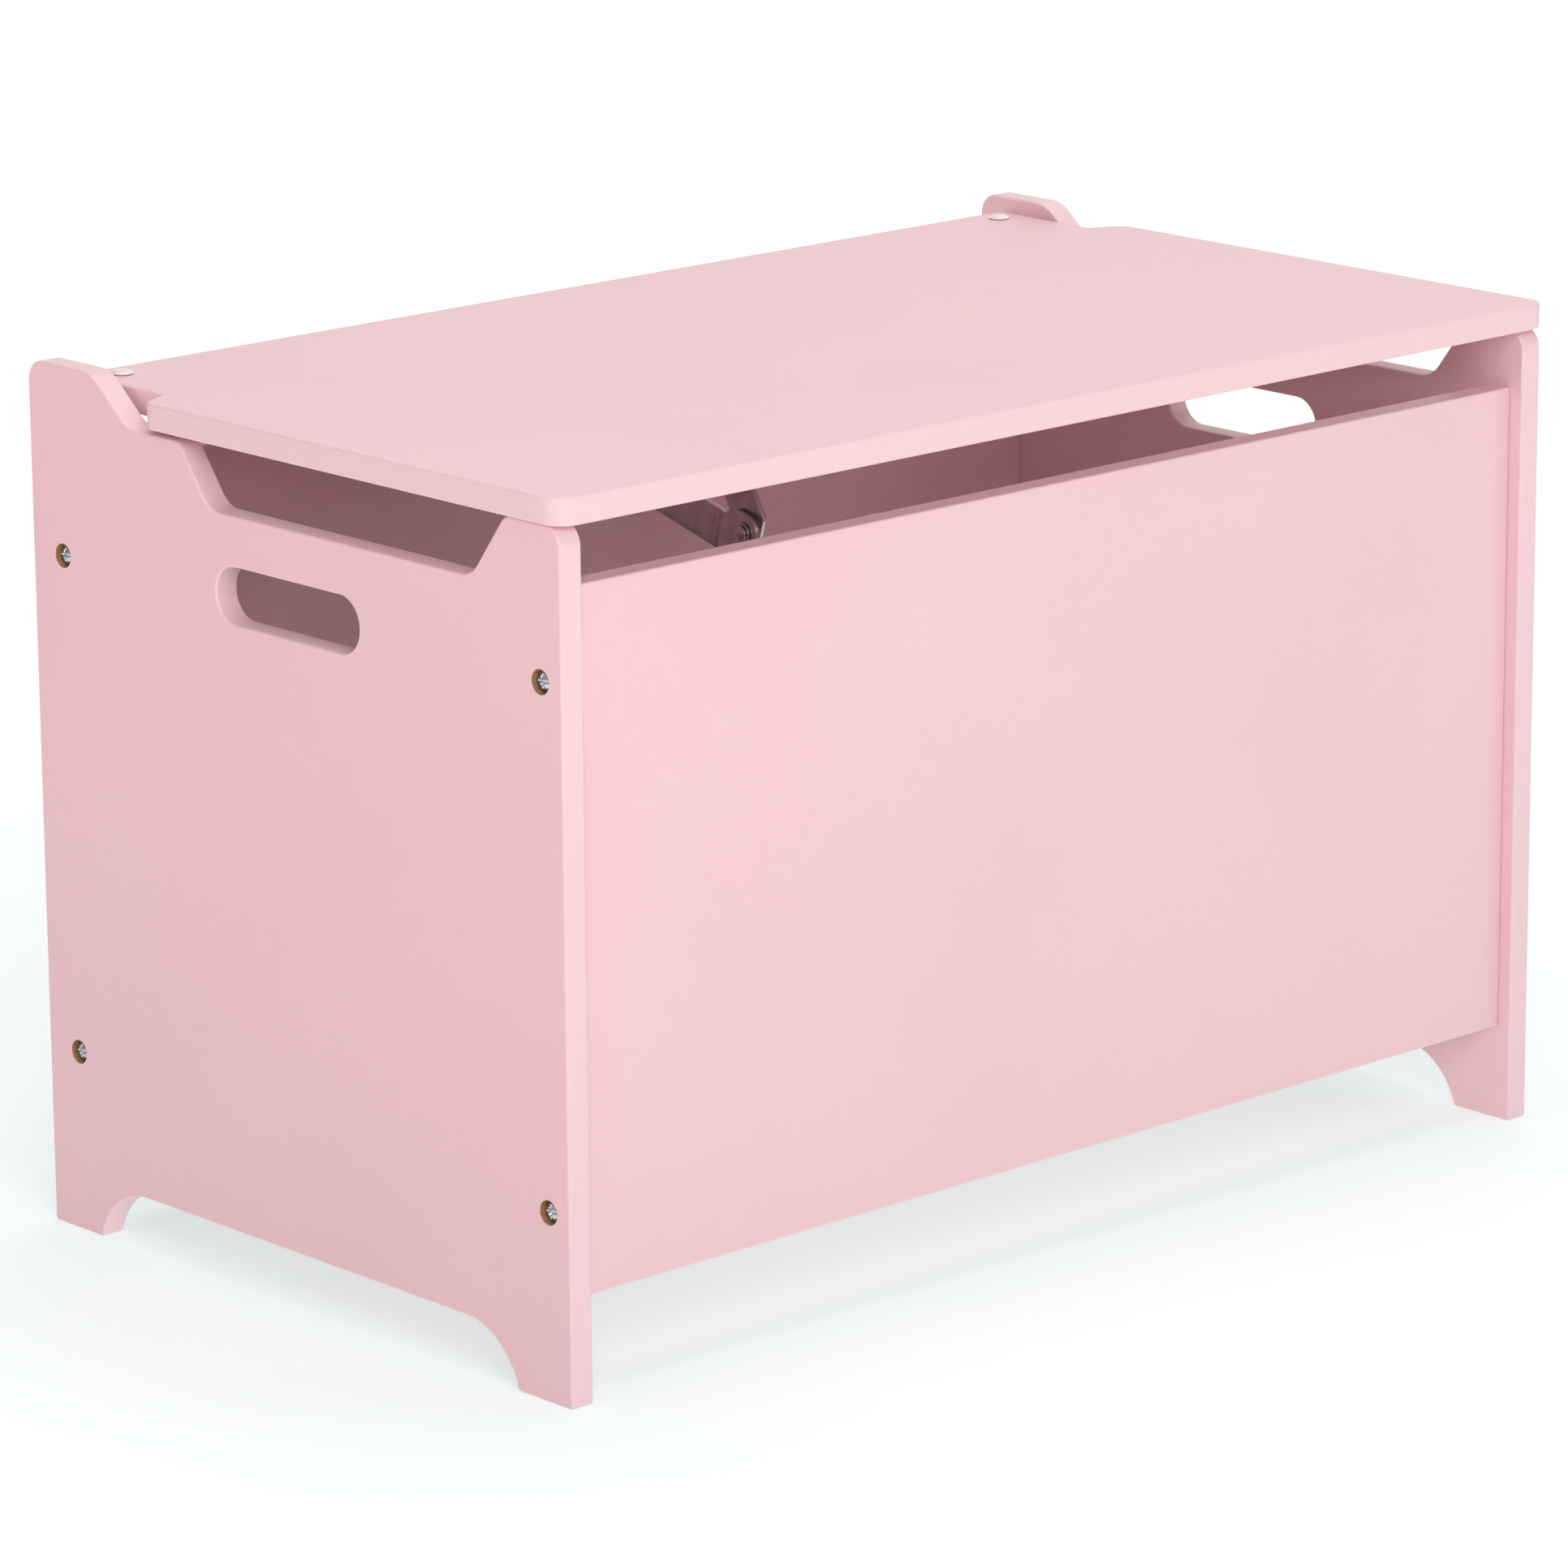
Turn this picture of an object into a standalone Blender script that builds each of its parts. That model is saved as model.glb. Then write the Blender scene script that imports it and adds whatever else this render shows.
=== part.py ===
"""Toy box of painted 12 mm board: five fixed panels, a lid on two side pins, and a folding lid stay.

The origin is the middle of the footprint on the floor. +Z is up, -Y is the front, +X is to the right.
The lid turns about the two pins in the raised ears of the side panels. A friction stay of two flat
steel arms stands in the middle of the box. Its four pivots make a parallelogram with the lid's axis,
so the lower arm turns with the lid and the upper arm keeps its slant.
"""

import math

import bmesh
import bpy
from mathutils import Matrix, Vector

# Overall sizes and boards, in metres.
WIDTH = 0.605  # over the two side panels
DEPTH = 0.362  # side panel, front edge to back edge
LID_SEAT = 0.385  # floor to the underside of the lid
EAR_RISE = 0.019  # top of the ears above the underside of the lid
BOARD = 0.012  # side, front and back panels
LID_BOARD = 0.012
BOTTOM_BOARD = 0.006
GAP = 0.0003  # between pieces that touch
EDGE = 0.0012  # rounding of the panels' edges
LID_EDGE = 0.0012

# Where the fixed panels stand.
FRONT_INSET = 0.0075
BACK_INSET = 0.016
PANEL_LOW = 0.046  # lower edge of the front and back panels
VENT = 0.028  # open strip between those panels and the lid
GROOVE_DEPTH = 0.005
GROOVE_UP = 0.009  # above the panels' lower edge

# Side panel outline.
POST = 0.035  # flat top in front of the notch
POST_RADIUS = 0.0095
NOTCH_FLOOR = 0.0302  # below the lid
NOTCH_SLOPE = math.radians(53)
NOTCH_TOP_RADIUS = 0.008
NOTCH_FLOOR_RADIUS = 0.014
SADDLE_DROP = 0.0027  # the flat behind the notch lies this far below the lid
SADDLE = 0.036  # its length, corner to corner
EAR_LENGTH = 0.046  # ear top, corner to corner
EAR_SLOPE = math.radians(40)
EAR_FOOT_RADIUS = 0.018
EAR_BROW_RADIUS = 0.020
EAR_BACK_RADIUS = 0.010
FOOT = 0.035
ARCH_HEIGHT = 0.026
ARCH_SLOPE = math.radians(73)
SLOT_LENGTH = 0.098
SLOT_WIDTH = 0.026
SLOT_BELOW_SEAT = 0.066  # lid's underside to the middle of the hand slot

# Lid outline.
LID_SIDE = 0.0025  # overhang
LID_FRONT = 0.003
LID_CORNER = 0.011
LID_BACK_CORNER = 0.003
EAR_CLEARANCE = 0.003  # lid's narrow part to the ears
STEP_FROM_BACK = 0.0785  # side panels' back edge to the inner corner of the step
STEP_SLANT = 0.009
STEP_RADIUS = 0.008

# Lid pins: steel pins fast in the lid, turning in nylon bushes in the ears.
PIN_FROM_BACK = 0.015  # lid's back edge to the pin's axis
PIN_RADIUS = 0.003
PIN_IN_LID = 0.030
PIN_PLAY = 0.00008  # around the pin in its bush
BUSH_RADIUS = 0.0045
BUSH_DEPTH = 0.008
BUSH_FLANGE_RADIUS = 0.0049
LOCK_INBOARD = 0.0145  # lid's narrow edge to the locking stud
LOCK_SHANK = 0.0011
LOCK_HEAD_RADIUS = 0.0053
LOCK_HEAD_HEIGHT = 0.0021

# Side screws.
SCREW_FROM_TOP = 0.040  # below the upper edge of the front and back panels
SCREW_FROM_LOW = 0.0393
SCREW_SHANK = 0.002
SCREW_LENGTH = 0.034
SCREW_HEAD_RADIUS = 0.00425
SCREW_HEAD_HEIGHT = 0.0026
COUNTERBORE_RADIUS = 0.0053
COUNTERBORE_DEPTH = 0.0038

# Lid stay. B is its pivot on the lid, A on the back panel and R the elbow between the arms.
STAY_REACH = 0.0763  # lid's axis forwards to B
STAY_DROP = 0.018  # lid's axis down to B
STAY_LEAN = 0.0396  # upper arm, bottom to top, backwards
STAY_RISE = 0.0726
ARM_PLATE = 0.0025
LOWER_WEB = 0.0145  # free side of the lower arm, measured from its line of pivots
UPPER_WEB = 0.012
ARM_BACK = 0.0043
ARM_TAIL = 0.020
JOGGLE_START = 0.0230  # before the elbow
JOGGLE_END = 0.0128
ELBOW_RADIUS = 0.009
UPPER_BACK = 0.0078
UPPER_TOP_RADIUS = 0.009
BRACKET_PLATE = 0.002
BRACKET_WIDTH = 0.030
WASHER_RADIUS = 0.0075
SPRING_WASHER_RADIUS = 0.0052
WASHER_PLATE = 0.001
RIVET_RADIUS = 0.0025
RIVET_HEAD_RADIUS = 0.004
RIVET_HEAD_HEIGHT = 0.0022
RIVET_TAIL_RADIUS = 0.0036
RIVET_TAIL_HEIGHT = 0.0014
SMALL_SHANK = 0.00175
SMALL_LENGTH = 0.008
SMALL_HEAD_RADIUS = 0.0035
SMALL_HEAD_HEIGHT = 0.0021

ARC_STEP = math.radians(11)
ROUND = 24  # sides of a small round piece

# Places that follow from the sizes.
FRONT = -(DEPTH + LID_FRONT) / 2 + LID_FRONT  # front edge of the side panels
BACK = FRONT + DEPTH
SIDE_IN = WIDTH / 2 - BOARD
PANEL_HIGH = LID_SEAT - VENT
EAR_TOP = LID_SEAT + EAR_RISE
LID_BACK = BACK - BACK_INSET
AXIS = Vector((0, LID_BACK - PIN_FROM_BACK, LID_SEAT + LID_BOARD / 2))
B = AXIS + Vector((0, -STAY_REACH, -STAY_DROP))
R = B - Vector((0, STAY_LEAN, STAY_RISE))
A = AXIS - Vector((0, STAY_LEAN, STAY_RISE))
NARROW = SIDE_IN - EAR_CLEARANCE  # half width of the lid between the ears
HALF_PLATE = ARM_PLATE / 2
CHEEK = HALF_PLATE + WASHER_PLATE + 2 * GAP  # near face of both brackets' cheeks
JOGGLE = ARM_PLATE + WASHER_PLATE + 2 * GAP

FINISHES = {
    "paint": ((0.80, 0.52, 0.56), 0.42, 0.0),
    "bare board": ((0.33, 0.20, 0.13), 0.85, 0.0),
    "zinc": ((0.55, 0.57, 0.60), 0.32, 1.0),
    "steel": ((0.42, 0.42, 0.43), 0.38, 1.0),
    "nylon": ((0.82, 0.80, 0.75), 0.5, 0.0),
    "clear plastic": ((0.88, 0.84, 0.83), 0.2, 0.0),
}


def clear_scene():
    for obj in list(bpy.data.objects):
        bpy.data.objects.remove(obj)


def material(name, kind):
    colour, roughness, metallic = FINISHES[kind]
    made = bpy.data.materials.new(name + " " + kind)
    made.use_nodes = True
    shader = made.node_tree.nodes["Principled BSDF"]
    shader.inputs["Base Color"].default_value = (*colour, 1)
    shader.inputs["Roughness"].default_value = roughness
    shader.inputs["Metallic"].default_value = metallic
    return made


def pivot(name, place, parent=None):
    """An empty on a joint's axis."""
    empty = bpy.data.objects.new(name, None)
    empty.empty_display_size = 0.02
    empty["place"] = list(place)
    empty.parent = parent
    empty.location = place - Vector(parent["place"]) if parent else place
    bpy.context.scene.collection.objects.link(empty)
    return empty


def piece(name, shape, kind, origin=(0, 0, 0), parent=None):
    """A named object from a bmesh or a mesh in world coordinates, with its own origin."""
    origin = Vector(parent["place"]) if parent else Vector(origin)
    if isinstance(shape, bmesh.types.BMesh):
        mesh = bpy.data.meshes.new(name)
        shape.to_mesh(mesh)
        shape.free()
    else:
        mesh = shape.copy()
    mesh.transform(Matrix.Translation(-origin))
    mesh.materials.clear()
    mesh.materials.append(material(name, kind))
    mesh.shade_smooth()
    mesh.set_sharp_from_angle(angle=math.radians(35))
    obj = bpy.data.objects.new(name, mesh)
    obj.parent = parent
    if not parent:
        obj.location = origin
    bpy.context.scene.collection.objects.link(obj)
    return obj


def hidden(obj):
    obj.hide_render = True
    obj.display_type = "WIRE"
    return obj


def boolean(obj, tool, operation="DIFFERENCE"):
    step = obj.modifiers.new(tool.name, "BOOLEAN")
    step.operation = operation
    step.object = tool
    return obj


def soften(obj, width, segments=2):
    """Rounds the edges that turn by more than the facets of an arc do."""
    bevel = obj.modifiers.new("edges", "BEVEL")
    bevel.width = width
    bevel.segments = segments
    bevel.limit_method = "ANGLE"
    bevel.angle_limit = math.radians(30)
    bevel.use_clamp_overlap = False
    return obj


def settled(obj):
    """The mesh of an object with its modifiers carried out, in its own coordinates."""
    graph = bpy.context.evaluated_depsgraph_get()
    return bpy.data.meshes.new_from_object(obj.evaluated_get(graph))


def rounded(corners):
    """Points of a closed outline. Each corner is (a, b, radius), and a radius is drawn as an arc."""
    points = []
    for i, (a, b, radius) in enumerate(corners):
        here = Vector((a, b))
        if not radius:
            points.append(here)
            continue
        before = (Vector(corners[i - 1][:2]) - here).normalized()
        after = (Vector(corners[(i + 1) % len(corners)][:2]) - here).normalized()
        half = before.angle(after) / 2
        centre = here + (before + after).normalized() * radius / math.sin(half)
        spoke = here + before * radius / math.tan(half) - centre
        turn = math.copysign(math.pi - 2 * half, -before.cross(after))
        steps = max(2, round(abs(turn) / ARC_STEP))
        for k in range(steps + 1):
            points.append(centre + Matrix.Rotation(turn * k / steps, 2) @ spoke)
    return points


def prism(outline, axis, low, high):
    """A straight-sided solid: outline runs in (y, z) for axis X, (x, z) for Y and (x, y) for Z."""
    at = "XYZ".index(axis)
    shape = bmesh.new()
    ring = []
    for a, b in outline:
        place = [a, b]
        place.insert(at, low)
        ring.append(shape.verts.new(place))
    face = shape.faces.new(ring)
    walls = bmesh.ops.extrude_face_region(shape, geom=[face])["geom"]
    moved = [part for part in walls if isinstance(part, bmesh.types.BMVert)]
    offset = [0, 0, 0]
    offset[at] = high - low
    bmesh.ops.translate(shape, verts=moved, vec=offset)
    bmesh.ops.recalc_face_normals(shape, faces=shape.faces)
    return shape


def block(low, high):
    """A rectangular solid between two opposite corners."""
    (x0, y0, z0), (x1, y1, z1) = low, high
    return prism([(x0, y0), (x1, y0), (x1, y1), (x0, y1)], "Z", z0, z1)


def turned(profile, base, direction, closed=False, steps=ROUND):
    """A round solid. The profile is a list of (distance along direction, radius), from the base point."""
    shape = bmesh.new()
    points = [shape.verts.new((radius, 0, along)) for along, radius in profile]
    edges = [shape.edges.new(pair) for pair in zip(points, points[1:])]
    if closed:
        edges.append(shape.edges.new((points[-1], points[0])))
    bmesh.ops.spin(
        shape, geom=points + edges, axis=(0, 0, 1), cent=(0, 0, 0), angle=2 * math.pi, steps=steps
    )
    bmesh.ops.remove_doubles(shape, verts=shape.verts, dist=1e-7)
    turn = Vector((0, 0, 1)).rotation_difference(Vector(direction)).to_matrix().to_4x4()
    bmesh.ops.transform(shape, matrix=Matrix.Translation(base) @ turn, verts=shape.verts)
    bmesh.ops.recalc_face_normals(shape, faces=shape.faces)
    return shape


def rod(radius, start, length, direction):
    return turned([(0, 0), (0, radius), (length, radius), (length, 0)], start, direction)


def ring(outer, inner, start, length, direction):
    profile = [(0, inner), (0, outer), (length, outer), (length, inner)]
    return turned(profile, start, direction, closed=True)


def dome(radius, height, steps=4):
    """Profile points of a shallow cap, from its rim up to its middle on the axis."""
    ball = (radius**2 + height**2) / (2 * height)
    spread = math.asin(radius / ball)
    return [
        (ball * math.cos(spread * (1 - k / steps)) - ball + height, ball * math.sin(spread * (1 - k / steps)))
        for k in range(steps + 1)
    ]


def together(*shapes):
    """Separate solids in one mesh, for a tool that cuts several holes."""
    joined = bmesh.new()
    for shape in shapes:
        mesh = bpy.data.meshes.new("tool")
        shape.to_mesh(mesh)
        shape.free()
        joined.from_mesh(mesh)
        bpy.data.meshes.remove(mesh)
    return joined


def side_outline():
    """Side panel seen from the side, as (y, z) from the front edge round over the top to the arch."""
    saddle = LID_SEAT - SADDLE_DROP
    floor = LID_SEAT - NOTCH_FLOOR
    top = LID_SEAT - GAP
    ear_front = BACK - EAR_LENGTH
    ear_foot = ear_front - (EAR_TOP - saddle) / math.tan(EAR_SLOPE)
    notch_back = ear_foot - SADDLE
    notch_front = FRONT + POST
    arch = ARCH_HEIGHT / math.tan(ARCH_SLOPE)
    arch_radius = 0.98 * ARCH_HEIGHT / math.sin(ARCH_SLOPE) / math.tan(ARCH_SLOPE / 2)
    corners = [
        (FRONT, 0, 0),
        (FRONT, top, POST_RADIUS),
        (notch_front, top, NOTCH_TOP_RADIUS),
        (notch_front + (top - floor) / math.tan(NOTCH_SLOPE), floor, NOTCH_FLOOR_RADIUS),
        (notch_back - (saddle - floor) / math.tan(NOTCH_SLOPE), floor, NOTCH_FLOOR_RADIUS),
        (notch_back, saddle, NOTCH_TOP_RADIUS),
        (ear_foot, saddle, EAR_FOOT_RADIUS),
        (ear_front, EAR_TOP, EAR_BROW_RADIUS),
        (BACK, EAR_TOP, EAR_BACK_RADIUS),
        (BACK, 0, 0),
        (BACK - FOOT, 0, 0),
        (BACK - FOOT - arch, ARCH_HEIGHT, arch_radius),
        (FRONT + FOOT + arch, ARCH_HEIGHT, arch_radius),
        (FRONT + FOOT, 0, 0),
    ]
    return rounded(corners)


def slot_outline():
    middle = (FRONT + BACK) / 2
    height = LID_SEAT - SLOT_BELOW_SEAT
    half, radius = SLOT_LENGTH / 2, SLOT_WIDTH / 2
    ends = [(-1, -1), (1, -1), (1, 1), (-1, 1)]
    return rounded([(middle + a * half, height + b * radius, 0.999 * radius) for a, b in ends])


def screw_rows():
    """Middle of each side screw on the panel, with the word for its place."""
    front = FRONT + FRONT_INSET + BOARD / 2
    back = BACK - BACK_INSET - BOARD / 2
    for word, y in (("front", front), ("back", back)):
        for level, z in (("upper", PANEL_HIGH - SCREW_FROM_TOP), ("lower", PANEL_LOW + SCREW_FROM_LOW)):
            yield f"{word}_{level}", y, z


def groove_box(reach_x):
    """Space of the groove for the bottom panel, out to reach_x on each side."""
    low = PANEL_LOW + GROOVE_UP - GAP
    y0 = FRONT + FRONT_INSET + BOARD - GROOVE_DEPTH
    y1 = BACK - BACK_INSET - BOARD + GROOVE_DEPTH
    return block((-reach_x, y0, low), (reach_x, y1, low + BOTTOM_BOARD + 2 * GAP))


def side_panel(side, word):
    """Panel with arched foot, hand slot, notched top and ear.

    The fixings are cut after the edges are rounded.
    """
    outer, inner = side * WIDTH / 2, side * SIDE_IN
    low, high = sorted((outer, inner))
    panel = piece(f"side_panel_{word}", prism(side_outline(), "X", low, high), "paint", (outer, 0, 0))
    slot = prism(slot_outline(), "X", low - BOARD, high + BOARD)
    boolean(panel, hidden(piece(f"cut_slot_{word}", slot, "bare board")))
    soften(panel, EDGE)
    holes = []
    for _, y, z in screw_rows():
        profile = [
            (-BOARD, 0),
            (-BOARD, COUNTERBORE_RADIUS),
            (COUNTERBORE_DEPTH, COUNTERBORE_RADIUS),
            (COUNTERBORE_DEPTH, SCREW_SHANK + GAP),
            (2 * BOARD, SCREW_SHANK + GAP),
            (2 * BOARD, 0),
        ]
        holes.append(turned(profile, (outer, y, z), (-side, 0, 0)))
    start = (inner - side * BOARD, AXIS.y, AXIS.z)
    holes.append(rod(BUSH_RADIUS + GAP, start, BOARD + BUSH_DEPTH + GAP, (side, 0, 0)))
    boolean(panel, hidden(piece(f"cut_holes_{word}", together(*holes), "bare board")))
    groove = hidden(piece(f"cut_groove_{word}", groove_box(SIDE_IN + GROOVE_DEPTH), "bare board"))
    return boolean(panel, groove)


def long_panel(word, front_face):
    """Front or back panel, held between the side panels."""
    end = SIDE_IN - GAP
    low = (-end, front_face, PANEL_LOW)
    high = (end, front_face + BOARD, PANEL_HIGH)
    panel = piece(f"{word}_panel", block(low, high), "paint", (0, front_face, PANEL_LOW))
    soften(panel, EDGE)
    into = SCREW_LENGTH - BOARD + COUNTERBORE_DEPTH + BOARD
    holes = [
        rod(SCREW_SHANK + GAP, (side * (end + BOARD), y, z), BOARD + into, (-side, 0, 0))
        for place, y, z in screw_rows()
        if place.startswith(word)
        for side in (-1, 1)
    ]
    if word == "back":
        holes += [
            rod(SMALL_SHANK + GAP, (x, front_face - BOARD, z), BOARD + SMALL_LENGTH, (0, 1, 0))
            for _, x, z in base_screw_places()
        ]
    boolean(panel, hidden(piece(f"cut_{word}_holes", together(*holes), "bare board")))
    groove = hidden(piece(f"cut_{word}_groove", groove_box(WIDTH), "bare board"))
    return boolean(panel, groove)


def bottom_panel():
    low = (-(SIDE_IN + GROOVE_DEPTH - GAP), FRONT + FRONT_INSET + BOARD - GROOVE_DEPTH + GAP, 0)
    high = (-low[0], BACK - BACK_INSET - BOARD + GROOVE_DEPTH - GAP, 0)
    z = PANEL_LOW + GROOVE_UP
    shape = block((*low[:2], z), (*high[:2], z + BOTTOM_BOARD))
    return piece("bottom_panel", shape, "paint", (0, 0, z))


def pan_head(shank, length, head_radius, head_height):
    """Mesh of a pan-head screw along +Z: its head lies above the seat at zero and its shank below."""
    rim = 0.55 * head_height
    crown = [(rim + along, radius) for along, radius in dome(head_radius, head_height - rim, 3)]
    profile = [(-length, 0), (-length + shank, shank), (0, shank), (0, head_radius), *crown]
    body = piece("screw_pattern", turned(profile, (0, 0, 0), (0, 0, 1)), "zinc")
    arm, half = 0.58 * head_radius, 0.13 * head_radius
    quarter = [(half, half), (half, arm), (-half, arm)]
    cross = [Matrix.Rotation(math.radians(90 * k), 2) @ Vector(p) for k in range(4) for p in quarter]
    tool = piece("recess_pattern", prism(cross, "Z", 0.35 * head_height, 2 * head_height), "zinc")
    mesh = settled(boolean(body, tool))
    bpy.data.objects.remove(body)
    bpy.data.objects.remove(tool)
    return mesh


def screw(name, pattern, seat, out, parent=None):
    """A copy of a screw whose head faces along out, a hair off its seat."""
    turn = Vector((0, 0, 1)).rotation_difference(Vector(out)).to_matrix().to_4x4()
    mesh = pattern.copy()
    place = Vector(seat) + Vector(out) * GAP
    mesh.transform(Matrix.Translation(place) @ turn)
    return piece(name, mesh, "zinc", place, parent)


def side_screws():
    pattern = pan_head(SCREW_SHANK, SCREW_LENGTH, SCREW_HEAD_RADIUS, SCREW_HEAD_HEIGHT)
    for side, word in ((-1, "left"), (1, "right")):
        x = side * (WIDTH / 2 - COUNTERBORE_DEPTH)
        for place, y, z in screw_rows():
            screw(f"side_screw_{word}_{place}", pattern, (x, y, z), (side, 0, 0))


def lid_outline():
    """Lid seen from above, as (x, y): wide over the side panels and narrow between the ears."""
    wide = WIDTH / 2 + LID_SIDE
    step = BACK - STEP_FROM_BACK
    half = [
        (wide, FRONT - LID_FRONT, LID_CORNER),
        (wide, step - STEP_SLANT, STEP_RADIUS),
        (NARROW, step, 0),
        (NARROW, LID_BACK, LID_BACK_CORNER),
    ]
    return rounded(half + [(-x, y, radius) for x, y, radius in reversed(half)])


def lid(parent):
    board = piece("lid", prism(lid_outline(), "Z", LID_SEAT, LID_SEAT + LID_BOARD), "paint", parent=parent)
    soften(board, LID_EDGE)
    holes = []
    studs = []
    for side in (-1, 1):
        start = (side * (NARROW + BOARD), AXIS.y, AXIS.z)
        holes.append(rod(PIN_RADIUS + GAP, start, BOARD + PIN_IN_LID + GAP, (-side, 0, 0)))
        top = (side * (NARROW - LOCK_INBOARD), AXIS.y, LID_SEAT + 2 * LID_BOARD)
        studs.append(rod(LOCK_SHANK + GAP, top, 1.8 * LID_BOARD, (0, 0, -1)))
    for _, x, y in lid_screw_places():
        start = (x, y, LID_SEAT - LID_BOARD)
        holes.append(rod(SMALL_SHANK + GAP, start, LID_BOARD + SMALL_LENGTH, (0, 0, 1)))
    boolean(board, hidden(piece("cut_lid_holes", together(*holes), "bare board")))
    return boolean(board, hidden(piece("cut_lid_studs", together(*studs), "bare board")))


def lid_pins(parent):
    """Pin, locking stud and bush at each side."""
    for side, word in ((-1, "left"), (1, "right")):
        out = (side, 0, 0)
        length = PIN_IN_LID + EAR_CLEARANCE + BUSH_DEPTH - GAP
        start = Vector((side * (NARROW - PIN_IN_LID), AXIS.y, AXIS.z))
        nose = PIN_RADIUS / 4
        profile = [
            (0, 0),
            (0, PIN_RADIUS - nose),
            (nose, PIN_RADIUS),
            (length - nose, PIN_RADIUS),
            (length, PIN_RADIUS - nose),
            (length, 0),
        ]
        pin = piece(f"hinge_pin_{word}", turned(profile, start, out), "steel", parent=parent)
        stud = Vector((side * (NARROW - LOCK_INBOARD), AXIS.y, LID_SEAT + LID_BOARD + GAP))
        cross = rod(LOCK_SHANK + GAP, stud, 2 * LID_BOARD, (0, 0, -1))
        boolean(pin, hidden(piece(f"cut_pin_{word}", cross, "steel")))
        shank = 0.75 * LID_BOARD
        rim = LOCK_HEAD_HEIGHT / 4
        crown = [(rim + along, radius) for along, radius in dome(LOCK_HEAD_RADIUS, LOCK_HEAD_HEIGHT - rim)]
        profile = [
            (-shank, 0),
            (-shank, LOCK_SHANK),
            (0, LOCK_SHANK),
            (0, 0.85 * LOCK_HEAD_RADIUS),
            *crown,
        ]
        piece(f"pin_lock_{word}", turned(profile, stud, (0, 0, 1)), "clear plastic", parent=parent)
        bore = PIN_RADIUS + PIN_PLAY
        seat = SIDE_IN - EAR_CLEARANCE + GAP
        bush = [
            (0, bore),
            (0, BUSH_FLANGE_RADIUS),
            (EAR_CLEARANCE - 2 * GAP, BUSH_FLANGE_RADIUS),
            (EAR_CLEARANCE - 2 * GAP, BUSH_RADIUS),
            (EAR_CLEARANCE + BUSH_DEPTH - GAP, BUSH_RADIUS),
            (EAR_CLEARANCE + BUSH_DEPTH - GAP, bore),
        ]
        base = Vector((side * seat, AXIS.y, AXIS.z))
        piece(f"hinge_bush_{word}", turned(bush, base, out, closed=True), "nylon", base)


def base_screw_places():
    x = CHEEK + 0.6 * BRACKET_WIDTH
    return [("lower", x, A.z - 0.002), ("upper", x, A.z + 0.024)]


def lid_screw_places():
    x = CHEEK + 0.6 * BRACKET_WIDTH
    return [("front", x, B.y - 0.016), ("back", x, B.y + 0.016)]


def stay_base_bracket():
    """Angle plate on the back panel: a flange with two screws, and a cheek that carries pivot A."""
    face = BACK - BACK_INSET - BOARD - GAP
    nose = 0.011
    cheek = rounded(
        [
            (face, A.z - nose, 0),
            (face, A.z + 0.031, 0),
            (A.y - nose, A.z + nose, 0.98 * nose),
            (A.y - nose, A.z - nose, 0.98 * nose),
        ]
    )
    far = CHEEK + BRACKET_PLATE
    bracket = piece("stay_base_bracket", prism(cheek, "X", CHEEK, far), "steel", (CHEEK, face, A.z))
    x0, x1 = CHEEK + BRACKET_PLATE / 2, CHEEK + BRACKET_WIDTH
    z0, z1 = A.z - 0.0145, A.z + 0.0345
    flange = rounded([(x0, z0, 0), (x1, z0, 0.005), (x1, z1, 0.005), (x0, z1, 0)])
    plate = piece("join_base_flange", prism(flange, "Y", face - BRACKET_PLATE, face), "steel")
    boolean(bracket, hidden(plate), "UNION")
    holes = [rod(RIVET_RADIUS + GAP, (CHEEK - BOARD, A.y, A.z), 2 * BOARD, (1, 0, 0))]
    holes += [
        rod(SMALL_SHANK + GAP, (x, face - BOARD, z), 2 * BOARD, (0, 1, 0)) for _, x, z in base_screw_places()
    ]
    return boolean(bracket, hidden(piece("cut_base_bracket", together(*holes), "steel")))


def stay_lid_bracket(parent):
    """Angle plate under the lid: a flange with two screws, and a cheek that carries pivot B."""
    top = LID_SEAT - GAP
    nose = UPPER_TOP_RADIUS
    half = 0.026
    cheek = rounded(
        [
            (B.y + half, top, 0),
            (B.y - half, top, 0),
            (B.y - nose, B.z - nose, 0.9 * nose),
            (B.y + nose, B.z - nose, 0.9 * nose),
        ]
    )
    far = CHEEK + BRACKET_PLATE
    bracket = piece("stay_lid_bracket", prism(cheek, "X", CHEEK, far), "steel", parent=parent)
    x0, x1 = CHEEK + BRACKET_PLATE / 2, CHEEK + BRACKET_WIDTH
    y0, y1 = B.y - half, B.y + half
    flange = rounded([(x0, y0, 0), (x1, y0, 0.005), (x1, y1, 0.005), (x0, y1, 0)])
    plate = piece("join_lid_flange", prism(flange, "Z", top - BRACKET_PLATE, top), "steel")
    boolean(bracket, hidden(plate), "UNION")
    holes = [rod(RIVET_RADIUS + GAP, (CHEEK - BOARD, B.y, B.z), 2 * BOARD, (1, 0, 0))]
    holes += [
        rod(SMALL_SHANK + GAP, (x, y, top - BOARD), 2 * BOARD, (0, 0, 1)) for _, x, y in lid_screw_places()
    ]
    return boolean(bracket, hidden(piece("cut_lid_bracket", together(*holes), "steel")))


def along_arm(start, end, flip=1):
    """Turns (u, v) on an arm into (y, z): u runs from start to end, and v towards the arm's free side."""
    way = (end - start).normalized()
    out = Vector((0, way.z, -way.y)) * flip

    def place(u, v):
        point = start + way * u + out * v
        return point.y, point.z

    return place


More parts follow.
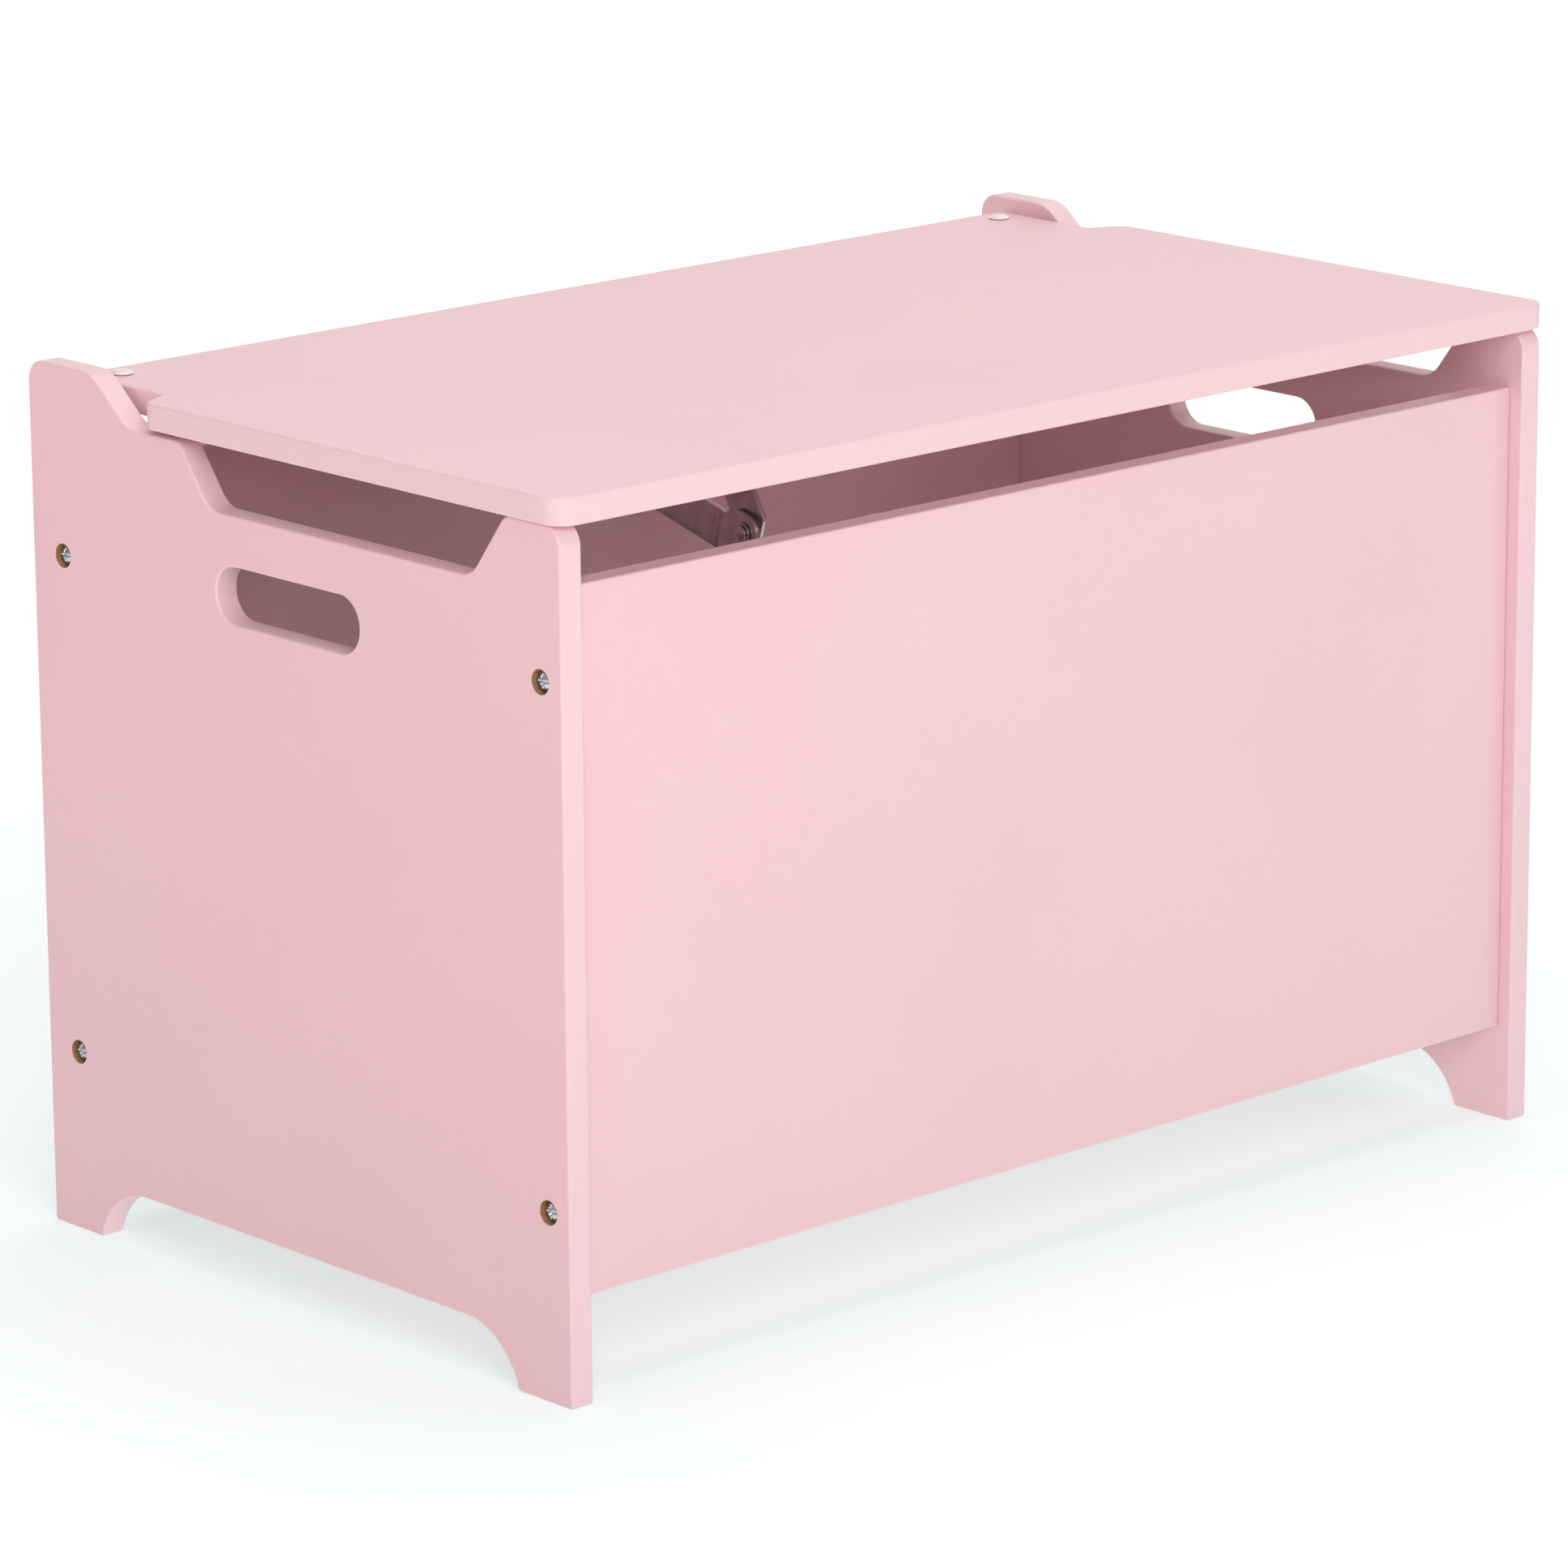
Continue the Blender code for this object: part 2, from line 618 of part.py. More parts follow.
def lower_arm(parent):
    """Stamped arm from A to the elbow. Its elbow end steps sideways to lap over the upper arm."""
    at = along_arm(A, R, -1)
    length = (R - A).length
    back = -ARM_BACK
    bend, end = length - JOGGLE_START, length - JOGGLE_END
    tip = ELBOW_RADIUS
    corner = tip * math.tan(math.radians(22.5))
    outline = [
        (-ARM_TAIL, LOWER_WEB, 0.003),
        (-ARM_TAIL, back - 0.005, 0.006),
        (ARM_TAIL / 2, back - 0.005, 0.004),
        (ARM_TAIL / 2 + 0.006, back, 0.004),
        (end - 0.002, back, 0.003),
        (end + 0.0045, -tip, 0.005),
        (length + tip, -tip, 0.98 * tip),
        (length + tip, corner, 0.5 * tip),
        (length + tip + corner - LOWER_WEB, LOWER_WEB, 0.004),
    ]
    flat = rounded([(*at(u, v), radius) for u, v, radius in outline])
    blank = prism(flat, "X", -JOGGLE - ARM_PLATE, HALF_PLATE + ARM_PLATE)
    arm = piece("stay_lower_arm", blank, "steel", parent=parent)
    wide = 2 * LOWER_WEB
    section = [
        (-wide, -HALF_PLATE),
        (bend, -HALF_PLATE),
        (end, -HALF_PLATE - JOGGLE),
        (length + wide, -HALF_PLATE - JOGGLE),
        (length + wide, HALF_PLATE - JOGGLE),
        (end, HALF_PLATE - JOGGLE),
        (bend, HALF_PLATE),
        (-wide, HALF_PLATE),
    ]
    sheet = prism(section, "Z", -wide, wide)
    way = (R - A).normalized()
    frame = Matrix(((0, 1, 0, 0), (way.y, 0, way.z, 0), (way.z, 0, -way.y, 0), (0, 0, 0, 1)))
    bmesh.ops.transform(sheet, matrix=Matrix.Translation(A) @ frame, verts=sheet.verts)
    bmesh.ops.recalc_face_normals(sheet, faces=sheet.faces)
    boolean(arm, hidden(piece("stock_lower_arm", sheet, "steel")), "INTERSECT")
    holes = [rod(RIVET_RADIUS + GAP, (-BOARD, p.y, p.z), 2 * BOARD, (1, 0, 0)) for p in (A, R)]
    return boolean(arm, hidden(piece("cut_lower_arm", together(*holes), "steel")))


def upper_arm(parent):
    """Flat arm from the elbow to B, with its free side to the front."""
    at = along_arm(R, B, -1)
    length = (B - R).length
    heel, top = 0.012, UPPER_TOP_RADIUS
    outline = [
        (-heel, -UPPER_BACK, 0.005),
        (-heel, UPPER_WEB - heel - 0.0015, 0.002),
        (0.0015, UPPER_WEB, 0.002),
        (length - 0.016, UPPER_WEB, 0.006),
        (length + top, 0.004, 0.004),
        (length + top, -top, 0.9 * top),
    ]
    flat = rounded([(*at(u, v), radius) for u, v, radius in outline])
    arm = piece("stay_upper_arm", prism(flat, "X", -HALF_PLATE, HALF_PLATE), "steel", parent=parent)
    holes = [rod(RIVET_RADIUS + GAP, (-BOARD, p.y, p.z), 2 * BOARD, (1, 0, 0)) for p in (R, B)]
    return boolean(arm, hidden(piece("cut_upper_arm", together(*holes), "steel")))


def rivet(name, place, head_at, tail_at, parent=None):
    """Domed head on the left, shank through the plates and an upset tail on the right."""
    rim = 0.3 * RIVET_HEAD_HEIGHT
    crown = [(-rim - along, radius) for along, radius in dome(RIVET_HEAD_RADIUS, RIVET_HEAD_HEIGHT - rim)]
    tail = tail_at - head_at
    profile = [
        *reversed(crown),
        (0, RIVET_HEAD_RADIUS),
        (0, RIVET_RADIUS),
        (tail, RIVET_RADIUS),
        (tail, RIVET_TAIL_RADIUS),
        (tail + RIVET_TAIL_HEIGHT, 0.7 * RIVET_TAIL_RADIUS),
        (tail + RIVET_TAIL_HEIGHT, 0),
    ]
    base = Vector((head_at, place.y, place.z))
    return piece(name, turned(profile, base, (1, 0, 0)), "zinc", base, parent)


def washer(name, place, start, kind, parent=None, radius=WASHER_RADIUS):
    base = Vector((start, place.y, place.z))
    shape = ring(radius, RIVET_RADIUS + GAP, base, WASHER_PLATE, (1, 0, 0))
    return piece(name, shape, kind, base, parent)


def stay(lid_axis):
    """The whole lid stay, from the back panel's bracket to the lid's."""
    base_axis = pivot("stay_base_axis", A)
    elbow_axis = pivot("stay_elbow_axis", R, base_axis)
    small = pan_head(SMALL_SHANK, SMALL_LENGTH, SMALL_HEAD_RADIUS, SMALL_HEAD_HEIGHT)
    cheek_out = CHEEK + BRACKET_PLATE + GAP
    beside = HALF_PLATE + GAP

    stay_base_bracket()
    face = BACK - BACK_INSET - BOARD - GAP - BRACKET_PLATE
    for word, x, z in base_screw_places():
        screw(f"stay_base_screw_{word}", small, (x, face, z), (0, -1, 0))
    washer("stay_base_washer", A, beside, "nylon")
    rivet("stay_base_rivet", A, -beside, cheek_out)

    lower_arm(base_axis)
    lobe = -HALF_PLATE - JOGGLE
    spring = lobe - GAP - WASHER_PLATE
    washer("stay_elbow_spring_washer", R, spring, "steel", base_axis, SPRING_WASHER_RADIUS)
    washer("stay_elbow_washer", R, -beside - WASHER_PLATE, "nylon", base_axis)
    rivet("stay_elbow_rivet", R, lobe - 2 * GAP - WASHER_PLATE, beside, base_axis)

    upper_arm(elbow_axis)

    stay_lid_bracket(lid_axis)
    for word, x, y in lid_screw_places():
        seat = (x, y, LID_SEAT - GAP - BRACKET_PLATE)
        screw(f"stay_lid_screw_{word}", small, seat, (0, 0, -1), lid_axis)
    washer("stay_lid_washer", B, beside, "nylon", lid_axis)
    rivet("stay_lid_rivet", B, -beside, cheek_out, lid_axis)


clear_scene()
side_panel(-1, "left")
side_panel(1, "right")
long_panel("front", FRONT + FRONT_INSET)
long_panel("back", BACK - BACK_INSET - BOARD)
bottom_panel()
side_screws()
lid_axis = pivot("lid_axis", AXIS)
lid(lid_axis)
lid_pins(lid_axis)
stay(lid_axis)
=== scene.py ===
"""A pink toy box of painted fibreboard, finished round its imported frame.

Every board is a line carried round its outline with rounded edges, and filled on its two faces.
Round pieces are profiles turned about an axis. The steel stay's strips are flat blanks bent by a formula.
"""

import math

import bmesh
import bpy
import numpy as np
from mathutils import Matrix, Vector
from mathutils.geometry import delaunay_2d_cdt


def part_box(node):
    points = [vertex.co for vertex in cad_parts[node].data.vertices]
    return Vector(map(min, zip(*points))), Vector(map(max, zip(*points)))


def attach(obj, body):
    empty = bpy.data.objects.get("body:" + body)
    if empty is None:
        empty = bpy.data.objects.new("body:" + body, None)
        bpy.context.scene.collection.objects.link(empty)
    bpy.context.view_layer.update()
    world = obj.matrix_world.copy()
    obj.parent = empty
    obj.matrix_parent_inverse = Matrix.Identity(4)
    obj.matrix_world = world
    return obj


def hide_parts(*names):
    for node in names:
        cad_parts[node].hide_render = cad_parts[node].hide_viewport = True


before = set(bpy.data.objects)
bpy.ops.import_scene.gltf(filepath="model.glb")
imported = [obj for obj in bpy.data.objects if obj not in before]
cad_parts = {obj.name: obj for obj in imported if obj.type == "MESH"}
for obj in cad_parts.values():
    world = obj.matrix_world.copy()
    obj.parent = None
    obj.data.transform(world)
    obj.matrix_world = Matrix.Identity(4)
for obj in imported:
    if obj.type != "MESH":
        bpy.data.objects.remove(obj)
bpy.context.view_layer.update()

# Where the frame's pieces stand, in metres.
SIDE_LOW, SIDE_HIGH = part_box("side_panel_left")
FRONT_LOW, FRONT_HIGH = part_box("front_panel")
BACK_LOW, BACK_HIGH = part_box("back_panel")
BOTTOM_LOW, BOTTOM_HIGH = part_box("bottom_panel")
LID_LOW, LID_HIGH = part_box("lid")
FRONT, BACK = SIDE_LOW.y, SIDE_HIGH.y
HALF_WIDTH = -SIDE_LOW.x
BOARD = SIDE_HIGH.x - SIDE_LOW.x
SIDE_IN = HALF_WIDTH - BOARD
SEAT = LID_LOW.z
EAR_TOP = SIDE_HIGH.z
GAP = 0.0003

# Side panel outline.
EDGE = 0.0010
POST = 0.035
POST_RADIUS = 0.0095
NOTCH_FLOOR = 0.0302
NOTCH_SLOPE = math.radians(53)
NOTCH_TOP_RADIUS = 0.008
NOTCH_FLOOR_RADIUS = 0.014
SADDLE_DROP = 0.0027
SADDLE = 0.036
EAR_LENGTH = 0.046
EAR_SLOPE = math.radians(40)
EAR_FOOT_RADIUS = 0.018
EAR_BROW_RADIUS = 0.020
EAR_BACK_RADIUS = 0.010
FOOT = 0.035
ARCH_HEIGHT = 0.026
ARCH_SLOPE = math.radians(73)
SLOT_LENGTH = 0.098
SLOT_WIDTH = 0.026
SLOT_HEIGHT = SEAT - 0.066

# Fixings.
SCREW_HEIGHTS = {"upper": FRONT_HIGH.z - 0.040, "lower": FRONT_LOW.z + 0.0393}
SCREW_ROWS = {"front": FRONT_LOW.y + BOARD / 2, "back": BACK_LOW.y + BOARD / 2}
COUNTERBORE_RADIUS = 0.0053
COUNTERBORE_DEPTH = 0.0038
SCREW_HEAD = 0.00425
SCREW_HEAD_HEIGHT = 0.0026
SCREW_SHANK = 0.002
SCREW_LENGTH = 0.034
GROOVE_DEPTH = 0.005

# Lid.
LID_EDGE = 0.0012
LID_CORNER = 0.011
LID_BACK_CORNER = 0.003
STEP = BACK - 0.0785
STEP_SLANT = 0.009
STEP_RADIUS = 0.008
EAR_CLEARANCE = 0.003
NARROW = SIDE_IN - EAR_CLEARANCE
AXIS = Vector((0, LID_HIGH.y - 0.015, (LID_LOW.z + LID_HIGH.z) / 2))
PIN_RADIUS = 0.003
PIN_IN_LID = 0.030
PIN_PLAY = 0.00008
BUSH_RADIUS = 0.0045
BUSH_DEPTH = 0.008
BUSH_FLANGE = 0.0049
STUD_INBOARD = 0.0145
STUD_RADIUS = 0.0053
STUD_HEIGHT = 0.0021
STUD_RIM = 0.0005
STUD_SHANK = 0.0011

# Lid stay: its three pivots and the lid's axis are the corners of a parallelogram.
STAY_REACH = 0.0763
STAY_DROP = 0.018
STAY_LEAN = 0.0396
STAY_RISE = 0.0726
ARM = Vector((0, STAY_LEAN, STAY_RISE))  # from the elbow to the pivot on the lid
LID_PIVOT = AXIS + Vector((0, -STAY_REACH, -STAY_DROP))
ELBOW = LID_PIVOT - ARM
BASE_PIVOT = AXIS - ARM
PLATE = 0.0025
STRIP_EDGE = 0.0006
STRIP_CHORD = 0.0008
LOWER_WEB = 0.0145  # from the line of pivots to the arm's free side
UPPER_WEB = 0.012
LOWER_BACK = 0.0043
LOWER_TAIL = 0.020
ELBOW_RADIUS = 0.009
JOGGLE_START = 0.0230  # before the elbow
JOGGLE_END = 0.0128
UPPER_BACK = 0.0078
UPPER_HEEL = 0.012
UPPER_TOP = 0.009
WASHER = 0.001
WASHER_RADIUS = 0.0075
SPRING_WASHER_RADIUS = 0.0052
CHEEK = PLATE / 2 + WASHER + 2 * GAP
JOGGLE = PLATE + WASHER + 2 * GAP
BRACKET = 0.002
BRACKET_WIDTH = 0.030
BRACKET_EDGE = 0.0003
BRACKET_SCREWS = 0.6 * BRACKET_WIDTH
BEND = 0.0032
FOLD_RELIEF = 0.0005
BASE_NOSE = 0.011
BASE_BELOW = 0.0145
BASE_ABOVE = 0.0345
BASE_SHOULDER = 0.0305
BASE_ROWS = {"lower": -0.002, "upper": 0.024}  # from the base pivot's height
LID_NOSE = 0.009
LID_FLANGE_HALF = 0.026
LID_ROWS = {"front": -0.016, "back": 0.016}  # from the lid pivot, along the lid
SMALL_SHANK = 0.00175
SMALL_LENGTH = 0.008
SMALL_HEAD = 0.0035
SMALL_HEAD_HEIGHT = 0.0021
RIVET = 0.0025
RIVET_HEAD = 0.004
RIVET_HEAD_HEIGHT = 0.0022
RIVET_TAIL = 0.0036
RIVET_TAIL_TOP = 0.0025
RIVET_TAIL_HEIGHT = 0.0014


def line_round(corners, chord=0.0006, closed=True):
    """Points along a line whose corners (a, b, radius) are drawn as arcs, and the way out at each point.

    Each arc has its centre on the corner's bisector, at radius / sin(half angle) from the corner, and
    steps of about one chord. The way out points from the centre on a convex arc and to it on a hollow one.
    """
    places = np.array([c[:2] for c in corners], float)
    before = np.roll(places, 1, 0) - places
    after = np.roll(places, -1, 0) - places
    before /= np.linalg.norm(before, axis=1)[:, None]
    after /= np.linalg.norm(after, axis=1)[:, None]
    cross = after[:, 0] * before[:, 1] - after[:, 1] * before[:, 0]
    area = np.sum(places[:, 0] * np.roll(places[:, 1], -1) - places[:, 1] * np.roll(places[:, 0], -1))
    points, ways = [], []
    for i, (_, _, radius) in enumerate(corners):
        if not closed and i in (0, len(corners) - 1):
            points.append(places[i : i + 1])
            ways.append(np.zeros((1, 2)))
            continue
        radius = max(radius, 0.0001)
        half = math.acos(np.clip(before[i] @ after[i], -1, 1)) / 2
        bisector = before[i] + after[i]
        centre = places[i] + bisector / np.linalg.norm(bisector) * radius / math.sin(half)
        spoke = places[i] + before[i] * radius / math.tan(half) - centre
        turn = math.copysign(math.pi - 2 * half, cross[i])
        steps = max(2, math.ceil(abs(turn) * radius / chord), math.ceil(abs(turn) / 0.2))
        t = np.linspace(0, turn, steps + 1)
        cos, sin = np.cos(t), np.sin(t)
        arc = np.stack([spoke[0] * cos - spoke[1] * sin, spoke[0] * sin + spoke[1] * cos], 1)
        points.append(centre + arc)
        ways.append(arc / radius * math.copysign(1, turn) * math.copysign(1, area))
    return np.concatenate(points), np.concatenate(ways)


def ring_round(a, b, radius, count=48):
    """Points on a circle, and the way out at each."""
    t = np.linspace(0, 2 * np.pi, count, endpoint=False)
    way = np.stack([np.cos(t), np.sin(t)], 1)
    return np.array([a, b]) + radius * way, way


def rectangle(a0, b0, a1, b1, radius=0.0003):
    return line_round([(a0, b0, radius), (a1, b0, radius), (a1, b1, radius), (a0, b1, radius)])


def rounded_edge(radius):
    """Depth into the board and height above its face, round a quarter circle from the face to the wall."""
    t = np.linspace(0, np.pi / 2, 6)
    return np.stack([radius * (1 - np.sin(t)), radius * (1 - np.cos(t))], 1)


def fill(loops, seeds):
    """Triangles of the flat face between the loops, through the seed points.

    A triangle is kept where a line from its middle crosses the loops an odd number of times.
    """
    starts = np.cumsum([0] + [len(loop) for loop in loops])
    ring = [np.roll(np.arange(s, e), -1) for s, e in zip(starts[:-1], starts[1:])]
    edges = np.stack([np.arange(starts[-1]), np.concatenate(ring)], 1)
    points = np.concatenate([*loops, seeds])
    _, _, faces, origins, _, _ = delaunay_2d_cdt(points.tolist(), edges.tolist(), [], 0, 1e-9)
    first = np.array([o[0] if o else -1 for o in origins])
    faces = first[np.array(faces)]
    x, y = points[faces].mean(1).T[..., None]
    (x0, y0), (x1, y1) = points[edges].transpose(1, 2, 0)
    with np.errstate(divide="ignore", invalid="ignore"):
        meets = x0 + (y - y0) * (x1 - x0) / (y1 - y0)
    crossed = ((y0 > y) != (y1 > y)) & (meets > x)
    return faces[crossed.sum(1) % 2 == 1]


def board(thick, edge, outer, holes=(), pockets=(), place=None, spacing=None):
    """A board or plate as arrays: points, faces, and which faces are bare.

    The outline is carried from one face to the other along a profile that rounds both edges:
    point = outline + way into the board * depth(k), at height(k). Holes go through the same way.
    A pocket (line, on the far face, depth, narrower, bare) turns in at its own floor, or goes on through
    the board narrower by that much.
    """
    points, quads, bare = [], [], []
    flats = {0: [], 1: []}
    curve = rounded_edge(edge)
    wall = np.concatenate([curve, curve[::-1] * (1, -1) + (0, thick)])
    walls = [(outer, wall, -1, (True, True), False, False)]
    walls += [(hole, wall, 1, (True, True), False, False) for hole in holes]
    for line, far, depth, narrower, is_bare in pockets:
        profile = np.concatenate([rounded_edge(0.0003), [(0, depth)]])
        if narrower:
            through = rounded_edge(0.0001)[::-1] * (1, -1) + (-narrower, thick)
            profile = np.concatenate([profile, [(-narrower, depth)], through])
        if far:
            profile = profile * (1, -1) + (0, thick)
        walls.append((line, profile, 1, (not far or narrower, far or narrower), is_bare, not narrower))
    base = 0
    floors = []
    for (line, way), profile, sign, meets, is_bare, floor in walls:
        k, n = len(profile), len(line)
        grid = np.empty((k, n, 3))
        grid[..., :2] = line[None] + sign * way[None] * profile[:, None, :1]
        grid[..., 2] = profile[:, None, 1]
        index = base + np.arange(k * n).reshape(k, n)
        ahead = np.roll(index, -1, 1)
        faces = np.stack([index[:-1], ahead[:-1], ahead[1:], index[1:]], -1).reshape(-1, 4)
        quads.append(faces)
        bare.append(np.full(len(faces), is_bare))
        points.append(grid.reshape(-1, 3))
        if all(meets):
            flats[0].append(index[0])
            flats[1].append(index[-1])
        else:
            flats[1 if meets[1] else 0].append(index[0])
        if floor:
            floors.append((index[-1], is_bare))
        base += k * n
    points = np.concatenate(points)
    triangles = []
    sheets = [(loops, height, False) for height, loops in flats.items()]
    sheets += [([loop], None, is_bare) for loop, is_bare in floors]
    for loops, height, is_bare in sheets:
        ids = np.concatenate(loops)
        seeds = np.empty((0, 2))
        if spacing and height is not None:
            low, high = points[ids, :2].min(0), points[ids, :2].max(0)
            count = np.maximum(2, ((high - low) / spacing).astype(int))
            a, b = np.meshgrid(*[l + (np.arange(c) + 0.5) / c * (h - l) for l, h, c in zip(low, high, count)])
            seeds = np.stack([a.ravel(), b.ravel()], 1)
        found = fill([points[loop, :2] for loop in loops], seeds)
        names = np.concatenate([ids, len(points) + np.arange(len(seeds))])
        if len(seeds):
            level = np.full((len(seeds), 1), points[ids[0], 2])
            points = np.concatenate([points, np.concatenate([seeds, level], 1)])
        triangles.append(names[found])
        bare.append(np.full(len(found), is_bare))
    if place:
        points = np.stack(place(points[:, 0], points[:, 1], points[:, 2]), 1)
    return points, [*quads, *triangles], np.concatenate(bare)


def object_from(name, points, faces, materials, bare=None, thin=None):
    """A closed mesh with its doubles merged, faces outwards, smooth but for its sharp corners.

    thin is the axis through a board. Faces that don't look along it get the attribute rim.
    """
    used, again = np.unique(np.concatenate([np.ravel(f) for f in faces]), return_inverse=True)
    ends = np.cumsum([np.size(f) for f in faces])[:-1]
    parts = [part.reshape(np.shape(f)) for part, f in zip(np.split(again, ends), faces)]
    mesh = bpy.data.meshes.new(name)
    mesh.from_pydata(np.asarray(points)[used].tolist(), [], sum((part.tolist() for part in parts), []))
    for material in materials:
        mesh.materials.append(material)
    if bare is not None:
        mesh.polygons.foreach_set("material_index", bare.astype(np.int32))
    work = bmesh.new()
    work.from_mesh(mesh)
    bmesh.ops.remove_doubles(work, verts=work.verts, dist=2e-7)
    bmesh.ops.dissolve_degenerate(work, dist=1e-8, edges=work.edges)
    bmesh.ops.recalc_face_normals(work, faces=work.faces)
    work.to_mesh(mesh)
    work.free()
    if thin is not None:
        normals = np.zeros(3 * len(mesh.polygons), np.float32)
        mesh.polygons.foreach_get("normal", normals)
        rim = (abs(normals[thin::3]) < 0.995).astype(np.float32)
        mesh.attributes.new("rim", "FLOAT", "FACE").data.foreach_set("value", rim)
    mesh.shade_smooth()
    mesh.set_sharp_from_angle(angle=math.radians(38))
    obj = bpy.data.objects.new(name, mesh)
    bpy.context.scene.collection.objects.link(obj)
    weights = obj.modifiers.new("flat faces stay flat", "WEIGHTED_NORMAL")
    weights.keep_sharp = True
    return obj


def finished(obj, node, body):
    """Stands for its CAD node, on the same body."""
    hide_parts(node)
    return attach(obj, body)


def sheet(node, body, slot, materials, *shape, thin=None, **more):
    points, faces, bare = board(*shape, **more)
    obj = object_from(node + "_finished", points, faces, materials, bare, thin)
    return finished(obj, node, body)


def turned(corners, chord=0.0003, count=64, closed=False, relief=None):
    """A profile of (along, radius, fillet) carried round the +Z axis, as points and faces.

    point = (radius cos t, radius sin t, along). Relief lowers the points it is given, for a screw's recess.
    """
    line, _ = line_round(corners, chord, closed=closed)
    t = np.linspace(0, 2 * np.pi, count, endpoint=False)
    along, radius = line[:, None, 0], line[:, None, 1]
    grid = np.stack(np.broadcast_arrays(radius * np.cos(t), radius * np.sin(t), along + 0 * t), -1)
    if relief:
        grid[..., 2] -= relief(grid[..., 0], grid[..., 1], grid[..., 2])
    index = np.arange(line.shape[0] * count).reshape(-1, count)
    ahead, below = np.roll(index, -1, 1), np.roll(index, -1, 0)
    across = np.roll(ahead, -1, 0)
    faces = np.stack([index, ahead, across, below], -1)
    return grid.reshape(-1, 3), (faces if closed else faces[:-1]).reshape(-1, 4)


def turned_piece(node, body, slot, material, profile, base, way, **more):
    """A turned piece set with its axis along way, from base."""
    points, faces = turned(profile, **more)
    turn = Vector((0, 0, 1)).rotation_difference(Vector(way)).to_matrix()
    points = points @ np.array(turn).T + np.array(base)
    obj = object_from(node + "_finished", points, [faces], [material])
    return finished(obj, node, body)


# ---------------------------------------------------------------- finishes


def linear(code, alpha=1.0):
    """An sRGB hex colour as linear light."""
    parts = np.array([int(code[i : i + 2], 16) for i in (1, 3, 5)]) / 255
    light = np.where(parts <= 0.04045, parts / 12.92, ((parts + 0.055) / 1.055) ** 2.4)
    return (*light.tolist(), alpha)


def add(tree, kind, inputs=None, **settings):
    """A node with its settings, and its inputs set to values or linked from sockets."""
    made = tree.nodes.new(kind)
    for key, value in settings.items():
        setattr(made, key, value)
    for socket, value in (inputs or {}).items():
        if isinstance(value, bpy.types.NodeSocket):
            tree.links.new(value, made.inputs[socket])
        else:
            made.inputs[socket].default_value = value
    return made


def new_material(name):
    made = bpy.data.materials.new(name)
    made.use_nodes = True
    tree = made.node_tree
    return made, tree, tree.nodes["Principled BSDF"]


def per_metre(millimetres):
    """Scale of a noise whose features are this many millimetres across."""
    return 1000 / millimetres


def satin_lacquer():
    """Sprayed satin lacquer on fibreboard: soft wide highlights, a faint orange peel, a drier rim, and a
    paler pink on the rim that is a painted highlight.

    Thicker and thinner spray shows as a very slight drift of the pink over a hand's width.
    """
    made, tree, shader = new_material("satin lacquer on fibreboard")
    where = add(tree, "ShaderNodeTexCoord").outputs["Object"]
    rim = add(tree, "ShaderNodeAttribute", attribute_name="rim").outputs["Fac"]
    drift = add(
        tree, "ShaderNodeTexNoise", {"Vector": where, "Scale": per_metre(160), "Detail": 3, "Roughness": 0.55}
    )
    mottle = add(
        tree, "ShaderNodeTexNoise", {"Vector": where, "Scale": per_metre(9), "Detail": 4, "Roughness": 0.6}
    )
    pinks = add(tree, "ShaderNodeValToRGB", {"Fac": drift.outputs["Fac"]})
    pinks.color_ramp.elements[0].position, pinks.color_ramp.elements[0].color = 0.3, linear("#EDC3C9")
    pinks.color_ramp.elements[1].position, pinks.color_ramp.elements[1].color = 0.7, linear("#EFC7CB")
    speck = add(tree, "ShaderNodeMapRange", {"Value": mottle.outputs["Fac"], 3: 0.985, 4: 1.015})
    # Painted highlight: the rim faces get a paler pink, which stands for the bright line of light along the
    # routed edges.
    painted_rim_highlight = add(
        tree, "ShaderNodeMix", {0: rim, 6: pinks.outputs["Color"], 7: linear("#EFCCD0")}, data_type="RGBA"
    )
    colour = add(
        tree,
        "ShaderNodeMix",
        {0: 1.0, 6: painted_rim_highlight.outputs[2], 7: speck.outputs["Result"]},
        data_type="RGBA",
        blend_type="MULTIPLY",
    )
    rough = add(tree, "ShaderNodeMapRange", {"Value": mottle.outputs["Fac"], 3: 0.38, 4: 0.46})
    drier = add(
        tree, "ShaderNodeMath", {0: rim, 1: 0.06, 2: rough.outputs["Result"]}, operation="MULTIPLY_ADD"
    )
    # Orange peel 1.6 mm across, and the raised fibres of a routed edge 0.9 mm across.
    peel = add(tree, "ShaderNodeTexNoise", {"Vector": where, "Scale": per_metre(1.6), "Detail": 2})
    fibre = add(
        tree, "ShaderNodeTexNoise", {"Vector": where, "Scale": per_metre(0.9), "Detail": 5, "Roughness": 0.7}
    )
    raised = add(tree, "ShaderNodeMath", {0: fibre.outputs["Fac"], 1: rim}, operation="MULTIPLY")
    fine = add(tree, "ShaderNodeBump", {"Strength": 0.5, "Distance": 0.00003, "Height": peel.outputs["Fac"]})
    both = add(
        tree,
        "ShaderNodeBump",
        {
            "Strength": 0.5,
            "Distance": 0.00008,
            "Height": raised.outputs["Value"],
            "Normal": fine.outputs["Normal"],
        },
    )
    tree.links.new(colour.outputs[2], shader.inputs["Base Color"])
    tree.links.new(drier.outputs["Value"], shader.inputs["Roughness"])
    tree.links.new(both.outputs["Normal"], shader.inputs["Normal"])
    shader.inputs["IOR"].default_value = 1.5
    shader.inputs["Coat Weight"].default_value = 0.12
    shader.inputs["Coat Roughness"].default_value = 0.25
    return made


